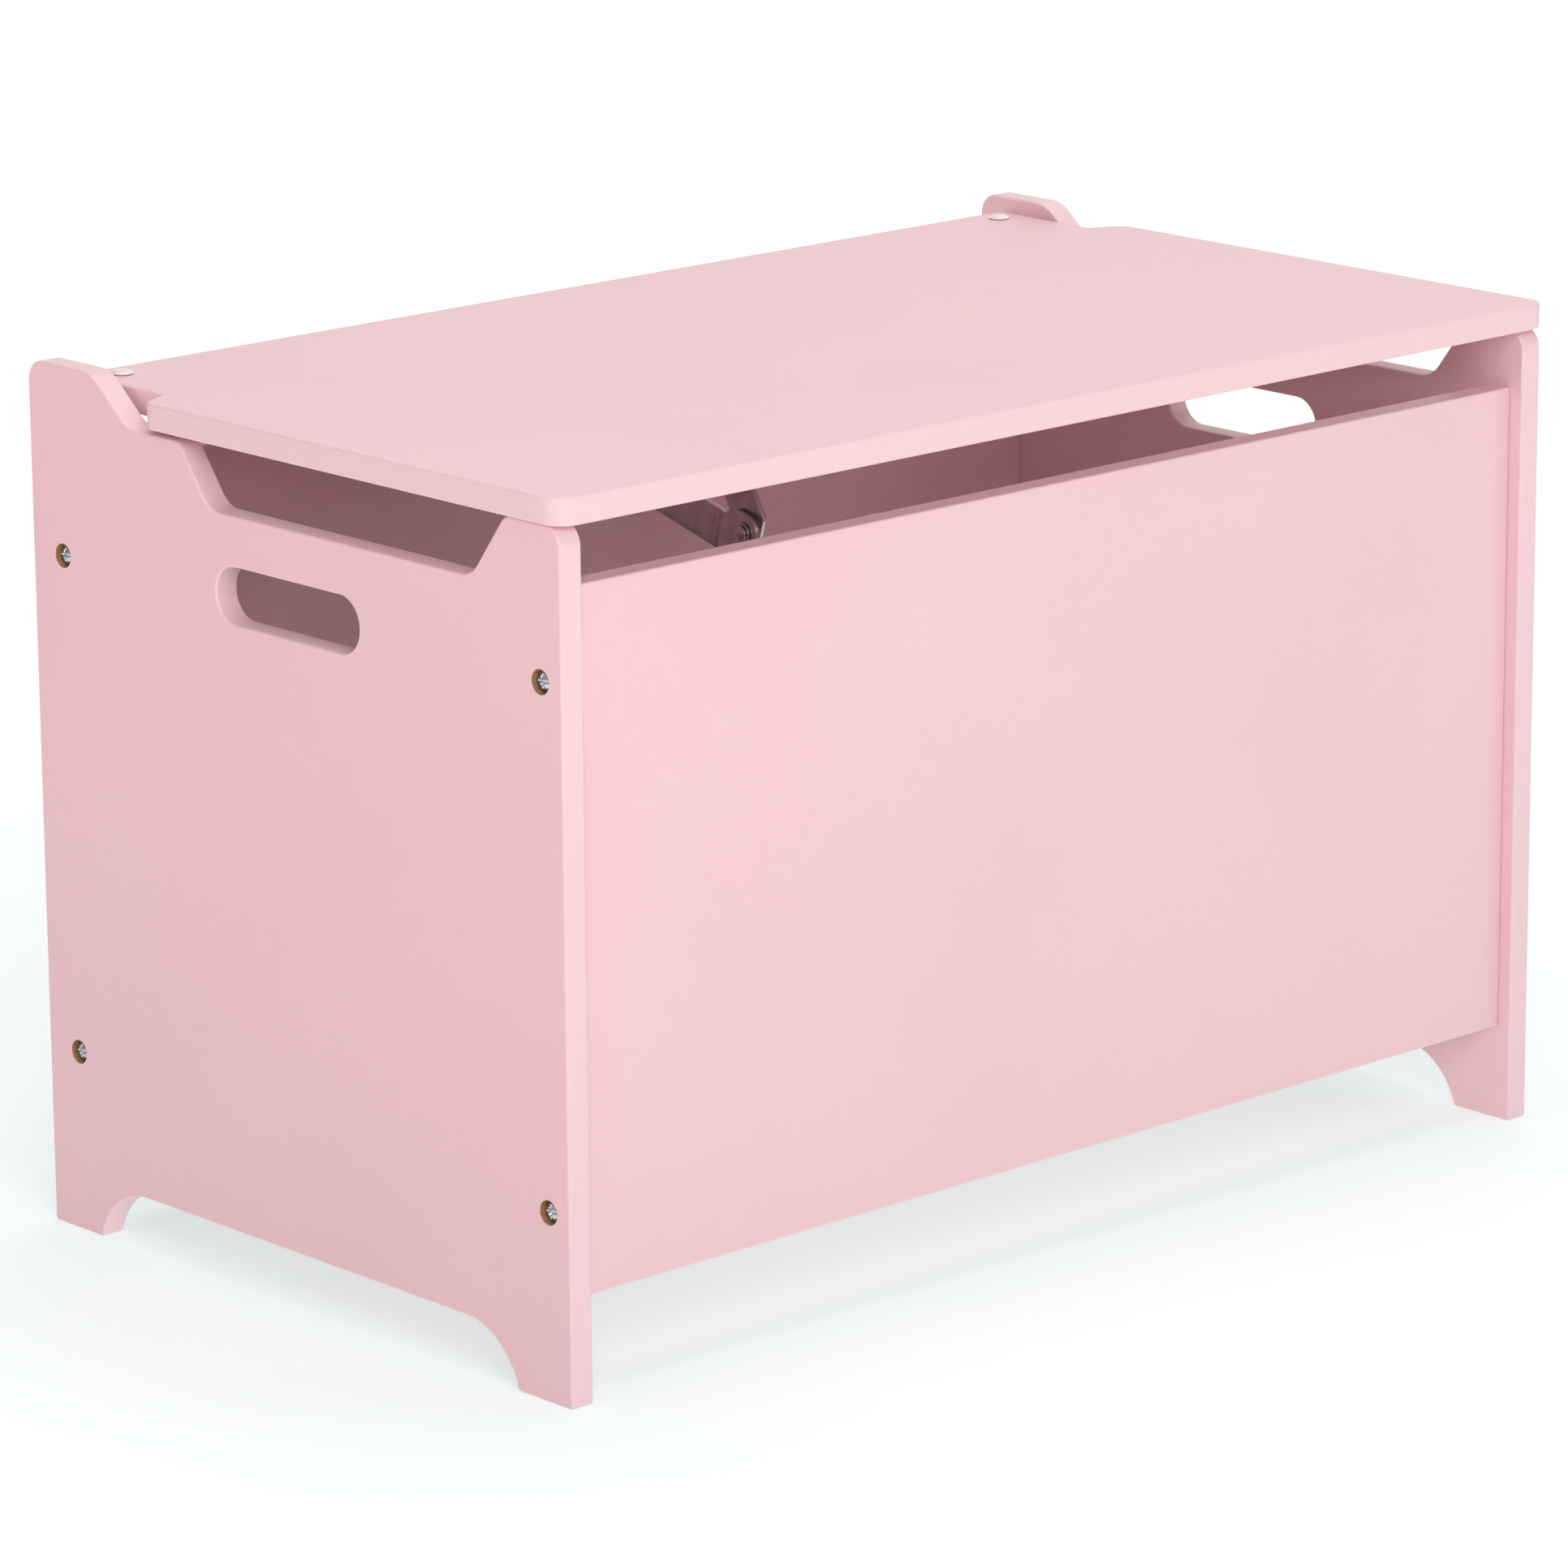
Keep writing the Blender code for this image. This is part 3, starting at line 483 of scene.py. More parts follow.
def raw_fibreboard():
    """Cut fibreboard inside a drilled hole: brown, dusty, with short fibres."""
    made, tree, shader = new_material("raw cut fibreboard")
    where = add(tree, "ShaderNodeTexCoord").outputs["Object"]
    fibre = add(
        tree, "ShaderNodeTexNoise", {"Vector": where, "Scale": per_metre(0.8), "Detail": 6, "Roughness": 0.7}
    )
    browns = add(tree, "ShaderNodeValToRGB", {"Fac": fibre.outputs["Fac"]})
    browns.color_ramp.elements[0].position, browns.color_ramp.elements[0].color = 0.3, linear("#7A5236")
    browns.color_ramp.elements[1].position, browns.color_ramp.elements[1].color = 0.7, linear("#B98E66")
    bump = add(tree, "ShaderNodeBump", {"Strength": 0.8, "Distance": 0.0001, "Height": fibre.outputs["Fac"]})
    tree.links.new(browns.outputs["Color"], shader.inputs["Base Color"])
    tree.links.new(bump.outputs["Normal"], shader.inputs["Normal"])
    shader.inputs["Roughness"].default_value = 0.9
    return made


def drawn_steel(name, dark, light, grain_mm, rough_low, rough_high):
    """Steel, plated or bare: a slightly cloudy metal with fine marks drawn out along y."""
    made, tree, shader = new_material(name)
    where = add(tree, "ShaderNodeTexCoord").outputs["Object"]
    stretched = add(tree, "ShaderNodeMapping", {"Vector": where, "Scale": (1, 0.12, 1)})
    marks = add(
        tree,
        "ShaderNodeTexNoise",
        {"Vector": stretched.outputs["Vector"], "Scale": per_metre(grain_mm), "Detail": 4, "Roughness": 0.65},
    )
    cloud = add(tree, "ShaderNodeTexNoise", {"Vector": where, "Scale": per_metre(7), "Detail": 3})
    greys = add(tree, "ShaderNodeValToRGB", {"Fac": cloud.outputs["Fac"]})
    greys.color_ramp.elements[0].position, greys.color_ramp.elements[0].color = 0.3, linear(dark)
    greys.color_ramp.elements[1].position, greys.color_ramp.elements[1].color = 0.7, linear(light)
    rough = add(tree, "ShaderNodeMapRange", {"Value": marks.outputs["Fac"], 3: rough_low, 4: rough_high})
    bump = add(tree, "ShaderNodeBump", {"Strength": 0.4, "Distance": 0.00002, "Height": marks.outputs["Fac"]})
    tree.links.new(greys.outputs["Color"], shader.inputs["Base Color"])
    tree.links.new(rough.outputs["Result"], shader.inputs["Roughness"])
    tree.links.new(bump.outputs["Normal"], shader.inputs["Normal"])
    shader.inputs["Metallic"].default_value = 1.0
    return made


def moulded(name, low, high, roughness, depth_mm):
    """Moulded unfilled plastic: milky, with light going a little way in, and a slightly uneven skin."""
    made, tree, shader = new_material(name)
    where = add(tree, "ShaderNodeTexCoord").outputs["Object"]
    haze = add(tree, "ShaderNodeTexNoise", {"Vector": where, "Scale": per_metre(4), "Detail": 3})
    milk = add(tree, "ShaderNodeValToRGB", {"Fac": haze.outputs["Fac"]})
    milk.color_ramp.elements[0].position, milk.color_ramp.elements[0].color = 0.3, linear(low)
    milk.color_ramp.elements[1].position, milk.color_ramp.elements[1].color = 0.7, linear(high)
    bump = add(tree, "ShaderNodeBump", {"Strength": 0.2, "Distance": 0.00002, "Height": haze.outputs["Fac"]})
    tree.links.new(milk.outputs["Color"], shader.inputs["Base Color"])
    tree.links.new(bump.outputs["Normal"], shader.inputs["Normal"])
    shader.inputs["Roughness"].default_value = roughness
    shader.inputs["IOR"].default_value = 1.5
    shader.inputs["Subsurface Weight"].default_value = 0.35
    shader.inputs["Subsurface Radius"].default_value = (1.0, 0.8, 0.8)
    shader.inputs["Subsurface Scale"].default_value = depth_mm / 1000
    return made


LACQUER = satin_lacquer()
FIBREBOARD = raw_fibreboard()
# Steel screws, barrel-plated with bright zinc: small, cold glints.
SCREW_ZINC = drawn_steel("bright zinc-plated screw", "#AEB8C4", "#DDE4EA", 0.6, 0.16, 0.30)
# Strip stamped and then zinc-plated: less glossy and more even, so it mirrors the boards softly.
STRIP_ZINC = drawn_steel("stamped zinc-plated strip", "#C2C3C6", "#DBDCDE", 0.5, 0.24, 0.40)
# Bright bar, ground and left bare: darker than the plated parts.
PIN_STEEL = drawn_steel("ground steel pin", "#8C8C8E", "#A6A6A8", 0.4, 0.2, 0.3)
# Injection-moulded bushes and washers: cream, with a soft sheen.
NYLON = moulded("natural nylon", "#E2DDCF", "#EAE6DB", 0.42, 1.5)
# Injection-moulded studs: smooth and milky. Their faint pink stands for the lacquer that shows through.
MILKY = moulded("milky polypropylene", "#E9DBDB", "#F3EAE9", 0.18, 2.0)
PAINTED = [LACQUER, FIBREBOARD]

# ---------------------------------------------------------------- boards


def side_line():
    """The side panel's outline: post, notch under the lid, flat, ear, and the arch between its feet."""
    saddle, floor, top = SEAT - SADDLE_DROP, SEAT - NOTCH_FLOOR, SEAT - GAP
    ear_front = BACK - EAR_LENGTH
    ear_foot = ear_front - (EAR_TOP - saddle) / math.tan(EAR_SLOPE)
    notch_back = ear_foot - SADDLE
    notch_front = FRONT + POST
    arch = ARCH_HEIGHT / math.tan(ARCH_SLOPE)
    arch_radius = 0.98 * ARCH_HEIGHT / math.sin(ARCH_SLOPE) / math.tan(ARCH_SLOPE / 2)
    sanded = 0.0016
    return line_round(
        [
            (FRONT, 0, sanded),
            (FRONT, top, POST_RADIUS),
            (notch_front, top, NOTCH_TOP_RADIUS),
            (notch_front + (top - floor) / math.tan(NOTCH_SLOPE), floor, NOTCH_FLOOR_RADIUS),
            (notch_back - (saddle - floor) / math.tan(NOTCH_SLOPE), floor, NOTCH_FLOOR_RADIUS),
            (notch_back, saddle, NOTCH_TOP_RADIUS),
            (ear_foot, saddle, EAR_FOOT_RADIUS),
            (ear_front, EAR_TOP, EAR_BROW_RADIUS),
            (BACK, EAR_TOP, EAR_BACK_RADIUS),
            (BACK, 0, sanded),
            (BACK - FOOT, 0, sanded),
            (BACK - FOOT - arch, ARCH_HEIGHT, arch_radius),
            (FRONT + FOOT + arch, ARCH_HEIGHT, arch_radius),
            (FRONT + FOOT, 0, sanded),
        ]
    )


def side_panels():
    middle = (FRONT + BACK) / 2
    end, half = SLOT_LENGTH / 2, SLOT_WIDTH / 2
    corners = [(-1, -1), (1, -1), (1, 1), (-1, 1)]
    slot = line_round([(middle + a * end, SLOT_HEIGHT + b * half, 0.999 * half) for a, b in corners])
    narrower = COUNTERBORE_RADIUS - SCREW_SHANK - GAP
    bores = [
        (ring_round(y, z, COUNTERBORE_RADIUS), False, COUNTERBORE_DEPTH, narrower, True)
        for y in SCREW_ROWS.values()
        for z in SCREW_HEIGHTS.values()
    ]
    groove = rectangle(BOTTOM_LOW.y - GAP, BOTTOM_LOW.z - GAP, BOTTOM_HIGH.y + GAP, BOTTOM_HIGH.z + GAP)
    inner = [
        (groove, True, GROOVE_DEPTH + GAP, 0, True),
        (ring_round(AXIS.y, AXIS.z, BUSH_RADIUS + GAP), True, BUSH_DEPTH + GAP, 0, True),
    ]
    for word, side in (("left", -1), ("right", 1)):
        sheet(
            f"side_panel_{word}",
            "box",
            "pink_paint",
            PAINTED,
            BOARD,
            EDGE,
            side_line(),
            [slot],
            bores + inner,
            place=lambda a, b, h, side=side: (side * (HALF_WIDTH - h), a, b),
            thin=0,
        )


def cross_panels():
    """Front and back boards, as their section carried across the box, and the bottom board."""
    lip, cut = 0.0005, 0.0004
    g0, g1 = BOTTOM_LOW.z - GAP, BOTTOM_HIGH.z + GAP
    panels = (("front_panel", FRONT_LOW, FRONT_HIGH, 1), ("back_panel", BACK_LOW, BACK_HIGH, -1))
    for node, low, high, way in panels:
        near, far = (low.y, high.y) if way > 0 else (high.y, low.y)
        deep = far - way * (GROOVE_DEPTH + GAP)
        section = [
            (near, low.z, EDGE),
            (far, low.z, EDGE),
            (far, g0, lip),
            (deep, g0, 0.0003),
            (deep, g1, 0.0003),
            (far, g1, lip),
            (far, high.z, EDGE),
            (near, high.z, EDGE),
        ]
        sheet(
            node,
            "box",
            "pink_paint",
            PAINTED,
            high.x - low.x,
            cut,
            line_round(section, 0.0003),
            place=lambda a, b, h: (low.x + h, a, b),
            thin=1,
        )
    sheet(
        "bottom_panel",
        "box",
        "pink_paint",
        PAINTED,
        BOTTOM_HIGH.z - BOTTOM_LOW.z,
        cut,
        rectangle(BOTTOM_LOW.x, BOTTOM_LOW.y, BOTTOM_HIGH.x, BOTTOM_HIGH.y, 0.0006),
        place=lambda a, b, h: (a, b, BOTTOM_LOW.z + h),
        thin=2,
    )


def lid():
    half = [
        (LID_HIGH.x, LID_LOW.y, LID_CORNER),
        (LID_HIGH.x, STEP - STEP_SLANT, STEP_RADIUS),
        (NARROW, STEP, 0.0005),
        (NARROW, LID_HIGH.y, LID_BACK_CORNER),
    ]
    line = line_round(half + [(-x, y, radius) for x, y, radius in reversed(half)])
    sheet(
        "lid",
        "lid",
        "pink_paint",
        PAINTED,
        LID_HIGH.z - LID_LOW.z,
        LID_EDGE,
        line,
        place=lambda a, b, h: (a, b, LID_LOW.z + h),
        thin=2,
    )


# ---------------------------------------------------------------- fixings


def cross_recess(head, depth, top):
    """Lowers a screw's crown where the driver fits: two tapered grooves crossing in the middle.

    At each point, the groove's wall rises over a short way from its half width, and its floor rises
    towards its end.
    """

    def relief(x, y, z):
        narrow, long = np.minimum(abs(x), abs(y)), np.maximum(abs(x), abs(y))
        width = 0.15 * head * (1.15 - 0.5 * long / head)
        wall = np.clip((width - narrow) / (0.07 * head) + 0.5, 0, 1)
        end = np.clip((0.62 * head - long) / (0.10 * head) + 0.5, 0, 1)
        heart = np.clip((0.30 * head - np.hypot(x, y)) / (0.10 * head) + 0.5, 0, 1)
        cut = np.maximum(wall * end * (1 - 0.45 * long / head), heart * 0.85)
        return cut * depth * (z > top)

    return relief


def pan_head(node, body, seat, way, shank, length, head, height):
    """Pan head with a cross recess, over a plain shank that ends in a point."""
    rim = 0.42 * height
    crown = [(rim + (height - rim) * (1 - (k / 5) ** 2), head * k / 5, 0.0002) for k in range(4, 0, -1)]
    profile = [
        (-length, 0, 0),
        (-length + shank, shank, 0.0003),
        (0, shank, 0.0001),
        (0, head, 0.0002),
        (rim, head, 0.0006),
        *crown,
        (height, 0, 0),
    ]
    return turned_piece(
        node,
        body,
        "zinc",
        SCREW_ZINC,
        profile,
        Vector(seat) + Vector(way) * GAP,
        way,
        chord=0.00011,
        count=96,
        relief=cross_recess(head, 0.6 * height, 0.9 * rim),
    )


def side_screws():
    sizes = SCREW_SHANK, SCREW_LENGTH, SCREW_HEAD, SCREW_HEAD_HEIGHT
    for word, side in (("left", -1), ("right", 1)):
        x = side * (HALF_WIDTH - COUNTERBORE_DEPTH)
        for row, y in SCREW_ROWS.items():
            for level, z in SCREW_HEIGHTS.items():
                node = f"side_screw_{word}_{row}_{level}"
                pan_head(node, "box", (x, y, z), (side, 0, 0), *sizes)


def lid_pins():
    """Pin, nylon bush and domed locking stud at each side."""
    for word, side in (("left", -1), ("right", 1)):
        way = (side, 0, 0)
        length = PIN_IN_LID + EAR_CLEARANCE + BUSH_DEPTH - GAP
        start = (side * (NARROW - PIN_IN_LID), AXIS.y, AXIS.z)
        pin = [(0, 0, 0), (0, PIN_RADIUS, 0.0008), (length, PIN_RADIUS, 0.0008), (length, 0, 0)]
        turned_piece(f"hinge_pin_{word}", "lid", "stay_steel", PIN_STEEL, pin, start, way)
        bore = PIN_RADIUS + PIN_PLAY
        flange, deep = EAR_CLEARANCE - 2 * GAP, EAR_CLEARANCE + BUSH_DEPTH - GAP
        bush = [
            (0, bore, 0.0002),
            (0, BUSH_FLANGE, 0.0004),
            (flange, BUSH_FLANGE, 0.0004),
            (flange, BUSH_RADIUS, 0.0002),
            (deep, BUSH_RADIUS, 0.0004),
            (deep, bore, 0.0002),
        ]
        base = (side * (NARROW + GAP), AXIS.y, AXIS.z)
        turned_piece(f"hinge_bush_{word}", "box", "nylon", NYLON, bush, base, way, closed=True)
        seat = (side * (NARROW - STUD_INBOARD), AXIS.y, LID_HIGH.z + GAP)
        shank = 0.75 * (LID_HIGH.z - LID_LOW.z)
        rim, crown = STUD_RIM, STUD_HEIGHT - STUD_RIM
        dome = [(rim + crown * (1 - (k / 6) ** 2), STUD_RADIUS * k / 6, 0.0015) for k in range(5, 0, -1)]
        stud = [
            (-shank, 0, 0),
            (-shank, STUD_SHANK, 0.0002),
            (0, STUD_SHANK, 0.0001),
            (0, STUD_RADIUS - 0.0004, 0.0002),
            (rim, STUD_RADIUS, 0.0003),
            *dome,
            (STUD_HEIGHT, 0, 0),
        ]
        turned_piece(
            f"pin_lock_{word}", "lid", "milky_plastic", MILKY, stud, seat, (0, 0, 1), chord=0.0002
        )


# ---------------------------------------------------------------- lid stay


def arm_frame(start, end, corners):
    """Corners given along an arm and towards its free side, as (y, z, radius)."""
    way = (end - start).normalized()
    return [
        (start.y + way.y * u - way.z * v, start.z + way.z * u + way.y * v, radius) for u, v, radius in corners
    ]


def lower_arm():
    """Strip from the base pivot to the elbow, stepped sideways before the elbow by a smooth joggle.

    The sideways shift is JOGGLE * s(t), where s = 3t^2 - 2t^3 and t runs from 0 to 1 along the step.
    """
    length = (ELBOW - BASE_PIVOT).length
    back, tip, tail = -LOWER_BACK, ELBOW_RADIUS, LOWER_TAIL
    bend, end = length - JOGGLE_START, length - JOGGLE_END
    corner = tip * math.tan(math.radians(22.5))
    corners = [
        (-tail, LOWER_WEB, 0.003),
        (-tail, back - 0.005, 0.006),
        (tail / 2, back - 0.005, 0.004),
        (tail / 2 + 0.006, back, 0.004),
        (end - 0.002, back, 0.003),
        (end + 0.0045, -tip, 0.005),
        (length + tip, -tip, 0.98 * tip),
        (length + tip, corner, 0.5 * tip),
        (length + tip + corner - LOWER_WEB, LOWER_WEB, 0.004),
    ]
    way = (ELBOW - BASE_PIVOT).normalized()

    def place(y, z, h):
        u = (y - BASE_PIVOT.y) * way.y + (z - BASE_PIVOT.z) * way.z
        t = np.clip((u - bend) / (end - bend), 0, 1)
        return h - PLATE / 2 - JOGGLE * t * t * (3 - 2 * t), y, z

    holes = [ring_round(p.y, p.z, RIVET + GAP, 32) for p in (BASE_PIVOT, ELBOW)]
    sheet(
        "stay_lower_arm",
        "stay_lower_arm",
        "stay_steel",
        [STRIP_ZINC],
        PLATE,
        STRIP_EDGE,
        line_round(arm_frame(BASE_PIVOT, ELBOW, corners), STRIP_CHORD),
        holes,
        place=place,
        spacing=0.0014,
    )


def upper_arm():
    """Flat strip from the elbow to the lid's pivot, with its free side to the front."""
    length = (LID_PIVOT - ELBOW).length
    heel, top, back = UPPER_HEEL, UPPER_TOP, UPPER_BACK
    corners = [
        (-heel, -back, 0.005),
        (-heel, UPPER_WEB - heel - 0.0015, 0.002),
        (0.0015, UPPER_WEB, 0.002),
        (length - 0.016, UPPER_WEB, 0.006),
        (length + top, 0.004, 0.004),
        (length + top, -top, 0.9 * top),
    ]
    holes = [ring_round(p.y, p.z, RIVET + GAP, 32) for p in (ELBOW, LID_PIVOT)]
    sheet(
        "stay_upper_arm",
        "stay_upper_arm",
        "stay_steel",
        [STRIP_ZINC],
        PLATE,
        STRIP_EDGE,
        line_round(arm_frame(ELBOW, LID_PIVOT, corners), STRIP_CHORD),
        holes,
        place=lambda y, z, h: (h - PLATE / 2, y, z),
    )


def folded(s, h):
    """Where a point of a blank lies across a fold of radius BEND: (sideways, along) from the fold's start.

    Up to s = 0 the blank runs straight, then round a quarter circle, then straight sideways.
    """
    t = np.clip(s / BEND, 0, math.pi / 2)
    over = np.maximum(s - BEND * math.pi / 2, 0)
    sideways = BEND - (BEND - h) * np.cos(t) + over
    along = np.minimum(s, 0) + (BEND - h) * np.sin(t)
    return sideways, along


def folded_plate(node, body, blank, holes, place):
    """One bracket, from the corners and holes of its blank and the fold that puts it in place."""
    line = line_round(blank, STRIP_CHORD)
    shape = BRACKET, BRACKET_EDGE, line, holes
    sheet(node, body, "stay_steel", [STRIP_ZINC], *shape, place=place, spacing=0.001)


def brackets():
    """Two angle brackets, each a flat blank folded to a cheek for its pivot and a flange for two screws."""
    face = BACK_LOW.y - GAP
    top = SEAT - GAP
    far = BEND * math.pi / 2 + BRACKET_WIDTH - BEND
    hole_s = BEND * math.pi / 2 + BRACKET_SCREWS - BEND
    small = SMALL_SHANK + GAP

    start = face - BEND
    nose = BASE_NOSE
    low, high = BASE_PIVOT.z - BASE_BELOW, BASE_PIVOT.z + BASE_ABOVE
    blank = [
        (far, low, 0.005),
        (far, high, 0.005),
        (-FOLD_RELIEF, high, 0.001),
        (-FOLD_RELIEF, BASE_PIVOT.z + BASE_SHOULDER, 0.001),
        (BASE_PIVOT.y - nose - start, BASE_PIVOT.z + nose, 0.98 * nose),
        (BASE_PIVOT.y - nose - start, BASE_PIVOT.z - nose, 0.98 * nose),
        (-FOLD_RELIEF, BASE_PIVOT.z - nose, 0.001),
        (-FOLD_RELIEF, low, 0.001),
    ]
    holes = [ring_round(BASE_PIVOT.y - start, BASE_PIVOT.z, RIVET + GAP, 32)]
    base_rows = {word: BASE_PIVOT.z + up for word, up in BASE_ROWS.items()}
    holes += [ring_round(hole_s, z, small, 24) for z in base_rows.values()]

    def on_back(s, z, h):
        sideways, along = folded(s, h)
        return CHEEK + sideways, start + along, z

    folded_plate("stay_base_bracket", "box", blank, holes, on_back)

    fold = top - BEND
    nose = LID_NOSE
    half = LID_FLANGE_HALF
    blank = [
        (far, LID_PIVOT.y - half, 0.005),
        (far, LID_PIVOT.y + half, 0.005),
        (-FOLD_RELIEF, LID_PIVOT.y + half, 0.001),
        (LID_PIVOT.z - nose - fold, LID_PIVOT.y + nose, 0.9 * nose),
        (LID_PIVOT.z - nose - fold, LID_PIVOT.y - nose, 0.9 * nose),
        (-FOLD_RELIEF, LID_PIVOT.y - half, 0.001),
    ]
    holes = [ring_round(LID_PIVOT.z - fold, LID_PIVOT.y, RIVET + GAP, 32)]
    lid_rows = {word: LID_PIVOT.y + along for word, along in LID_ROWS.items()}
    holes += [ring_round(hole_s, y, small, 24) for y in lid_rows.values()]

    def under_lid(s, y, h):
        sideways, along = folded(s, h)
        return CHEEK + sideways, y, fold + along

    folded_plate("stay_lid_bracket", "lid", blank, holes, under_lid)

    x = CHEEK + BRACKET_SCREWS
    small_screw = SMALL_SHANK, SMALL_LENGTH, SMALL_HEAD, SMALL_HEAD_HEIGHT
    for word, z in base_rows.items():
        pan_head(f"stay_base_screw_{word}", "box", (x, face - BRACKET, z), (0, -1, 0), *small_screw)
    for word, y in lid_rows.items():
        pan_head(f"stay_lid_screw_{word}", "lid", (x, y, top - BRACKET), (0, 0, -1), *small_screw)


def rivet(node, body, place, head_at, tail_at):
    """Domed head on the left, and an upset tail on the right."""
    head, height, tail = RIVET_HEAD, RIVET_HEAD_HEIGHT, tail_at - head_at
    rim = 0.3 * height
    dome = [(-rim - (height - rim) * (1 - (k / 6) ** 2), head * k / 6, 0.0015) for k in range(1, 6)]
    profile = [
        (-height, 0, 0),
        *dome,
        (-rim, head, 0.0004),
        (0, head, 0.0002),
        (0, RIVET, 0.0001),
        (tail, RIVET, 0.0001),
        (tail, RIVET_TAIL, 0.0004),
        (tail + RIVET_TAIL_HEIGHT, RIVET_TAIL_TOP, 0.0005),
        (tail + RIVET_TAIL_HEIGHT, 0, 0),
    ]
    turned_piece(node, body, "zinc", STRIP_ZINC, profile, (head_at, place.y, place.z), (1, 0, 0))


def washer(node, body, slot, material, place, start, outside=WASHER_RADIUS):
    hole = RIVET + GAP
    profile = [
        (0, hole, 0.0001),
        (0, outside, 0.0003),
        (WASHER, outside, 0.0003),
        (WASHER, hole, 0.0001),
    ]
    turned_piece(node, body, slot, material, profile, (start, place.y, place.z), (1, 0, 0), closed=True)


def stay():
    lower_arm()
    upper_arm()
    brackets()
    beside = PLATE / 2 + GAP
    cheek_out = CHEEK + BRACKET + GAP
    lobe = -PLATE / 2 - JOGGLE
    rivet("stay_base_rivet", "box", BASE_PIVOT, -beside, cheek_out)
    rivet("stay_lid_rivet", "lid", LID_PIVOT, -beside, cheek_out)
    rivet("stay_elbow_rivet", "stay_lower_arm", ELBOW, lobe - 2 * GAP - WASHER, beside)
    washer("stay_base_washer", "box", "nylon", NYLON, BASE_PIVOT, beside)
    washer("stay_lid_washer", "lid", "nylon", NYLON, LID_PIVOT, beside)
    washer("stay_elbow_washer", "stay_lower_arm", "nylon", NYLON, ELBOW, -beside - WASHER)
    spring = lobe - GAP - WASHER
    washer(
        "stay_elbow_spring_washer",
        "stay_lower_arm",
        "stay_steel",
        STRIP_ZINC,
        ELBOW,
        spring,
        SPRING_WASHER_RADIUS,
    )


side_panels()
cross_panels()
lid()
side_screws()
lid_pins()
stay()

# ---------------------------------------------------------------- studio


def floor():
    """A wide white floor with a share of light of its own, as on a lit table, so its shade stays pale.

    Near the box its own light is a little cool and its paper a little warm, which takes the pink bounce
    out of the shade. Further off it glows white, so that it runs into the white room.
    """
    mesh = bpy.data.meshes.new("floor")
    far = 4.0
    mesh.from_pydata([(-far, -far, 0), (far, -far, 0), (far, far, 0), (-far, far, 0)], [], [(0, 1, 2, 3)])
    plane = bpy.data.objects.new("floor", mesh)
    bpy.context.scene.collection.objects.link(plane)
    made, tree, shader = new_material("white studio floor")
    where = add(tree, "ShaderNodeTexCoord").outputs["Object"]
    away = add(tree, "ShaderNodeVectorMath", {0: where}, operation="LENGTH").outputs["Value"]
    glow = add(tree, "ShaderNodeMapRange", {"Value": away, 1: 0.38, 2: 2.3})
    whiter = add(tree, "ShaderNodeValToRGB", {"Fac": glow.outputs["Result"]})
    whiter.color_ramp.elements[0].color = (0.40, 0.545, 0.54, 1)
    whiter.color_ramp.elements[1].color = (1, 1, 1, 1)
    tree.links.new(whiter.outputs["Color"], shader.inputs["Emission Color"])
    shader.inputs["Base Color"].default_value = linear("#CBBDBD")
    shader.inputs["Roughness"].default_value = 0.9
    shader.inputs["Emission Strength"].default_value = 1.0
    mesh.materials.append(made)


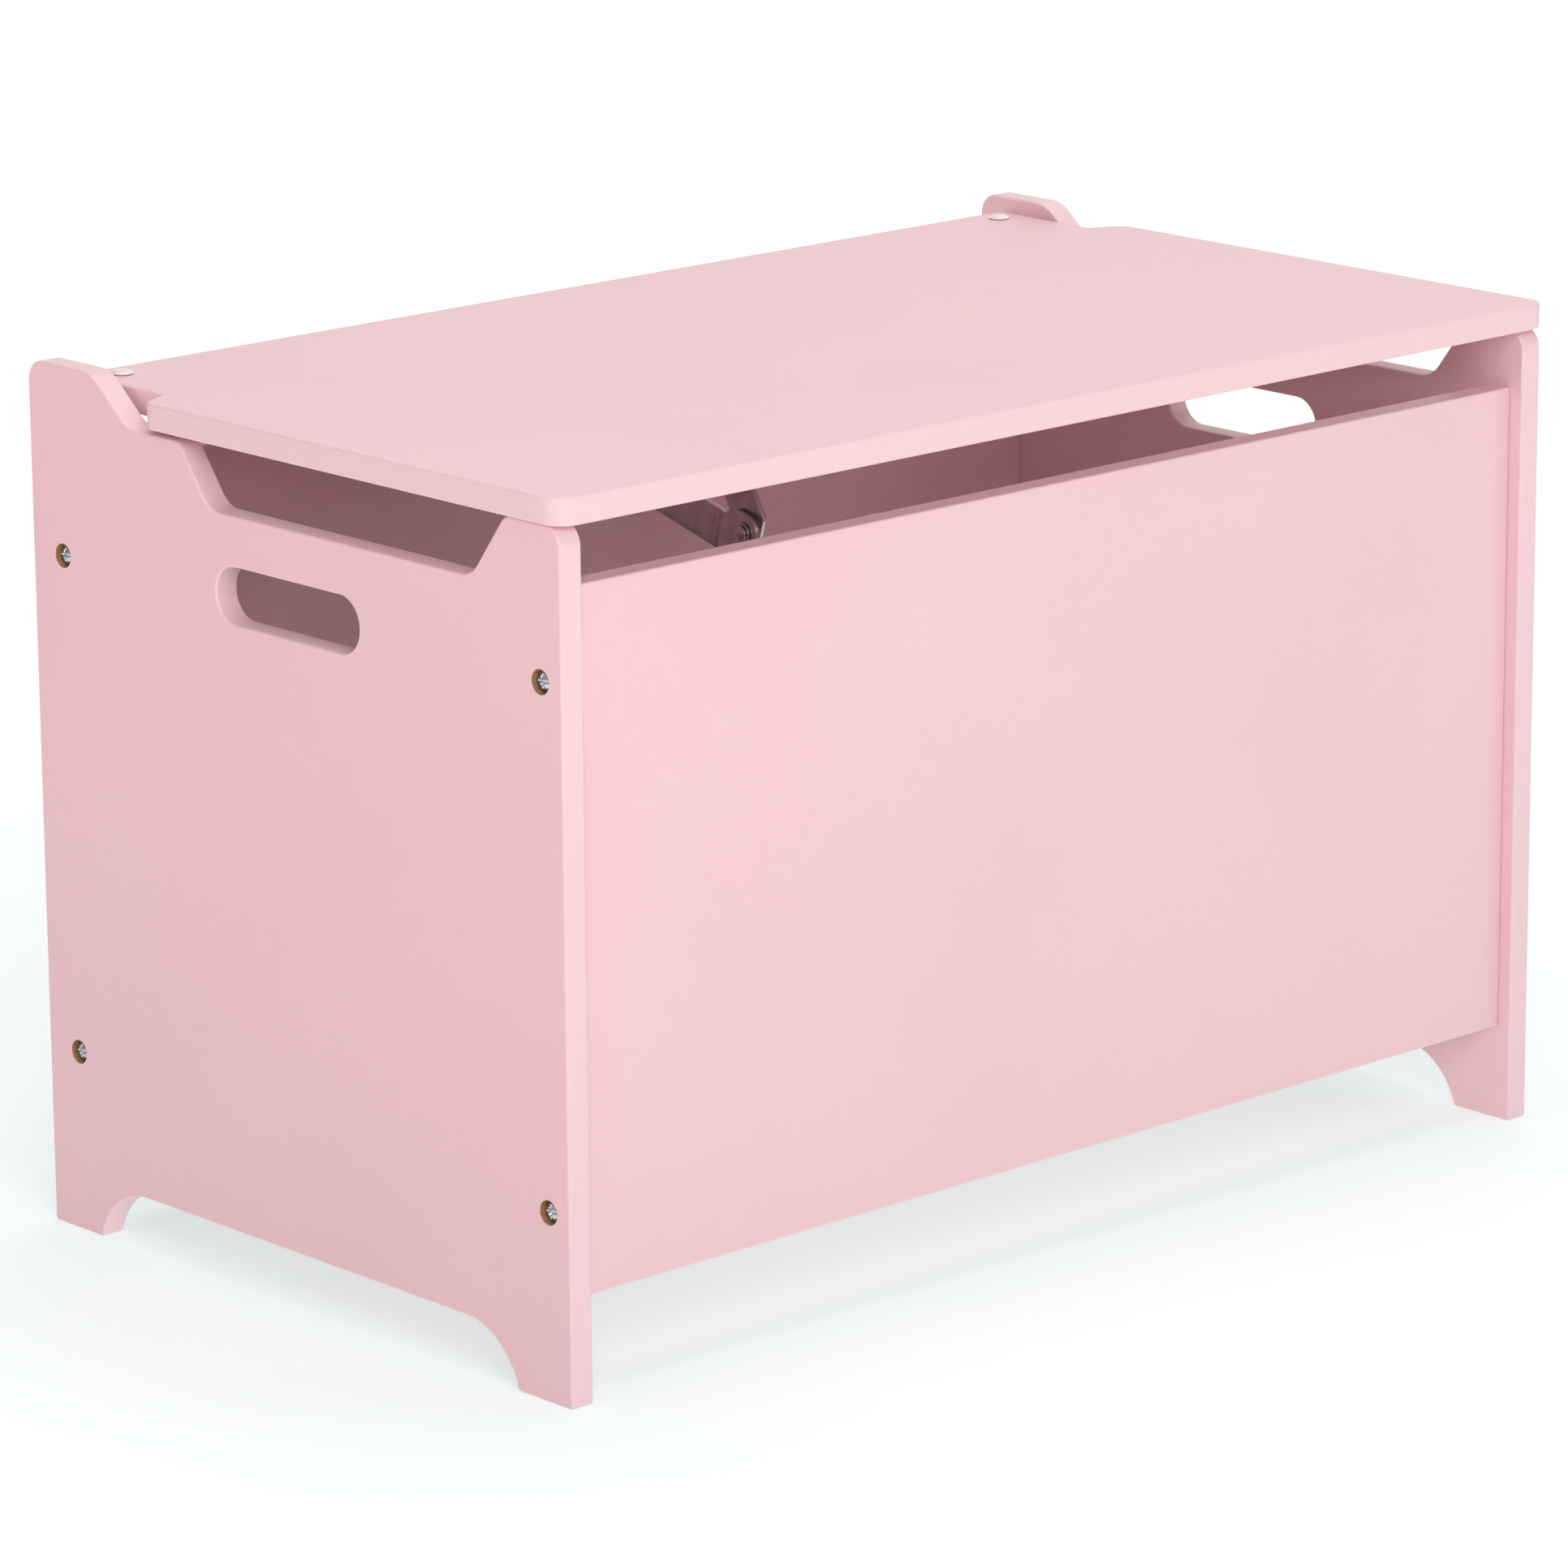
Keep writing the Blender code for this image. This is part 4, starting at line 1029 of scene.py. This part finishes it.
def white_room():
    """A surround that is white where it is seen, and adds a little light from everywhere."""
    world = bpy.data.worlds.new("white room")
    bpy.context.scene.world = world
    world.use_nodes = True
    tree = world.node_tree
    tree.nodes.clear()
    seen = add(tree, "ShaderNodeLightPath").outputs["Is Camera Ray"]
    around = add(tree, "ShaderNodeBackground", {"Color": (1, 1, 1, 1), "Strength": 0.05})
    behind = add(tree, "ShaderNodeBackground", {"Color": (1, 1, 1, 1), "Strength": 1.05})
    mixed = add(
        tree,
        "ShaderNodeMixShader",
        {0: seen, 1: around.outputs["Background"], 2: behind.outputs["Background"]},
    )
    add(tree, "ShaderNodeOutputWorld", {"Surface": mixed.outputs["Shader"]})


def soft_box(name, place, size, watts, aim=(0, 0, 0.2), tint=(1, 1, 1)):
    """A square softbox at place, turned to aim and out of the picture itself."""
    light = bpy.data.lights.new(name, "AREA")
    light.shape = "SQUARE"
    light.size = size
    light.energy = watts
    light.color = tint
    lamp = bpy.data.objects.new(name, light)
    lamp.location = place
    lamp.rotation_euler = (Vector(aim) - Vector(place)).to_track_quat("-Z", "Y").to_euler()
    lamp.visible_camera = False
    bpy.context.scene.collection.objects.link(lamp)


def camera():
    """A long lens from the front left and above, looking down 15 degrees."""
    data = bpy.data.cameras.new("camera")
    data.lens = 167.7
    data.sensor_width = 36
    data.clip_end = 60
    seen = bpy.data.objects.new("camera", data)
    yaw, pitch, roll = math.radians(-42.53), math.radians(90 - 14.77), math.radians(-0.40)
    turn = Matrix.Rotation(yaw, 4, "Z") @ Matrix.Rotation(pitch, 4, "X") @ Matrix.Rotation(roll, 4, "Z")
    seen.matrix_world = Matrix.Translation((-2.2192, -2.4049, 1.0491)) @ turn
    bpy.context.scene.collection.objects.link(seen)
    bpy.context.scene.camera = seen


floor()
white_room()
soft_box("key", (-1.8, -2.8, 1.8), 2.0, 71)
soft_box("right fill", (2.4, -2.4, 1.2), 2.0, 15)
soft_box("overhead", (0.0, 0.0, 3.0), 2.4, 45)
soft_box("overhead left", (-2.0, 0.6, 2.6), 2.4, 6)
# A pink card beside the box, as the near wall of a nursery would be.
soft_box("pink card left", (-2.8, 0.4, 0.8), 2.0, 8.5, tint=(1.0, 0.42, 0.52))
soft_box("overhead right", (2.2, 0.6, 2.6), 2.4, 15)
soft_box("lit wall behind", (3.0, 3.3, 1.2), 4.0, 46)
# A weak lamp in the box lifts its inside, which shows through the gap under the lid.
soft_box("inside lamp", (0.08, -0.09, 0.13), 0.14, 0.12, aim=(0.05, 0.17, 0.36), tint=(0.90, 0.99, 1.0))
camera()
bpy.context.scene.view_settings.view_transform = "Standard"
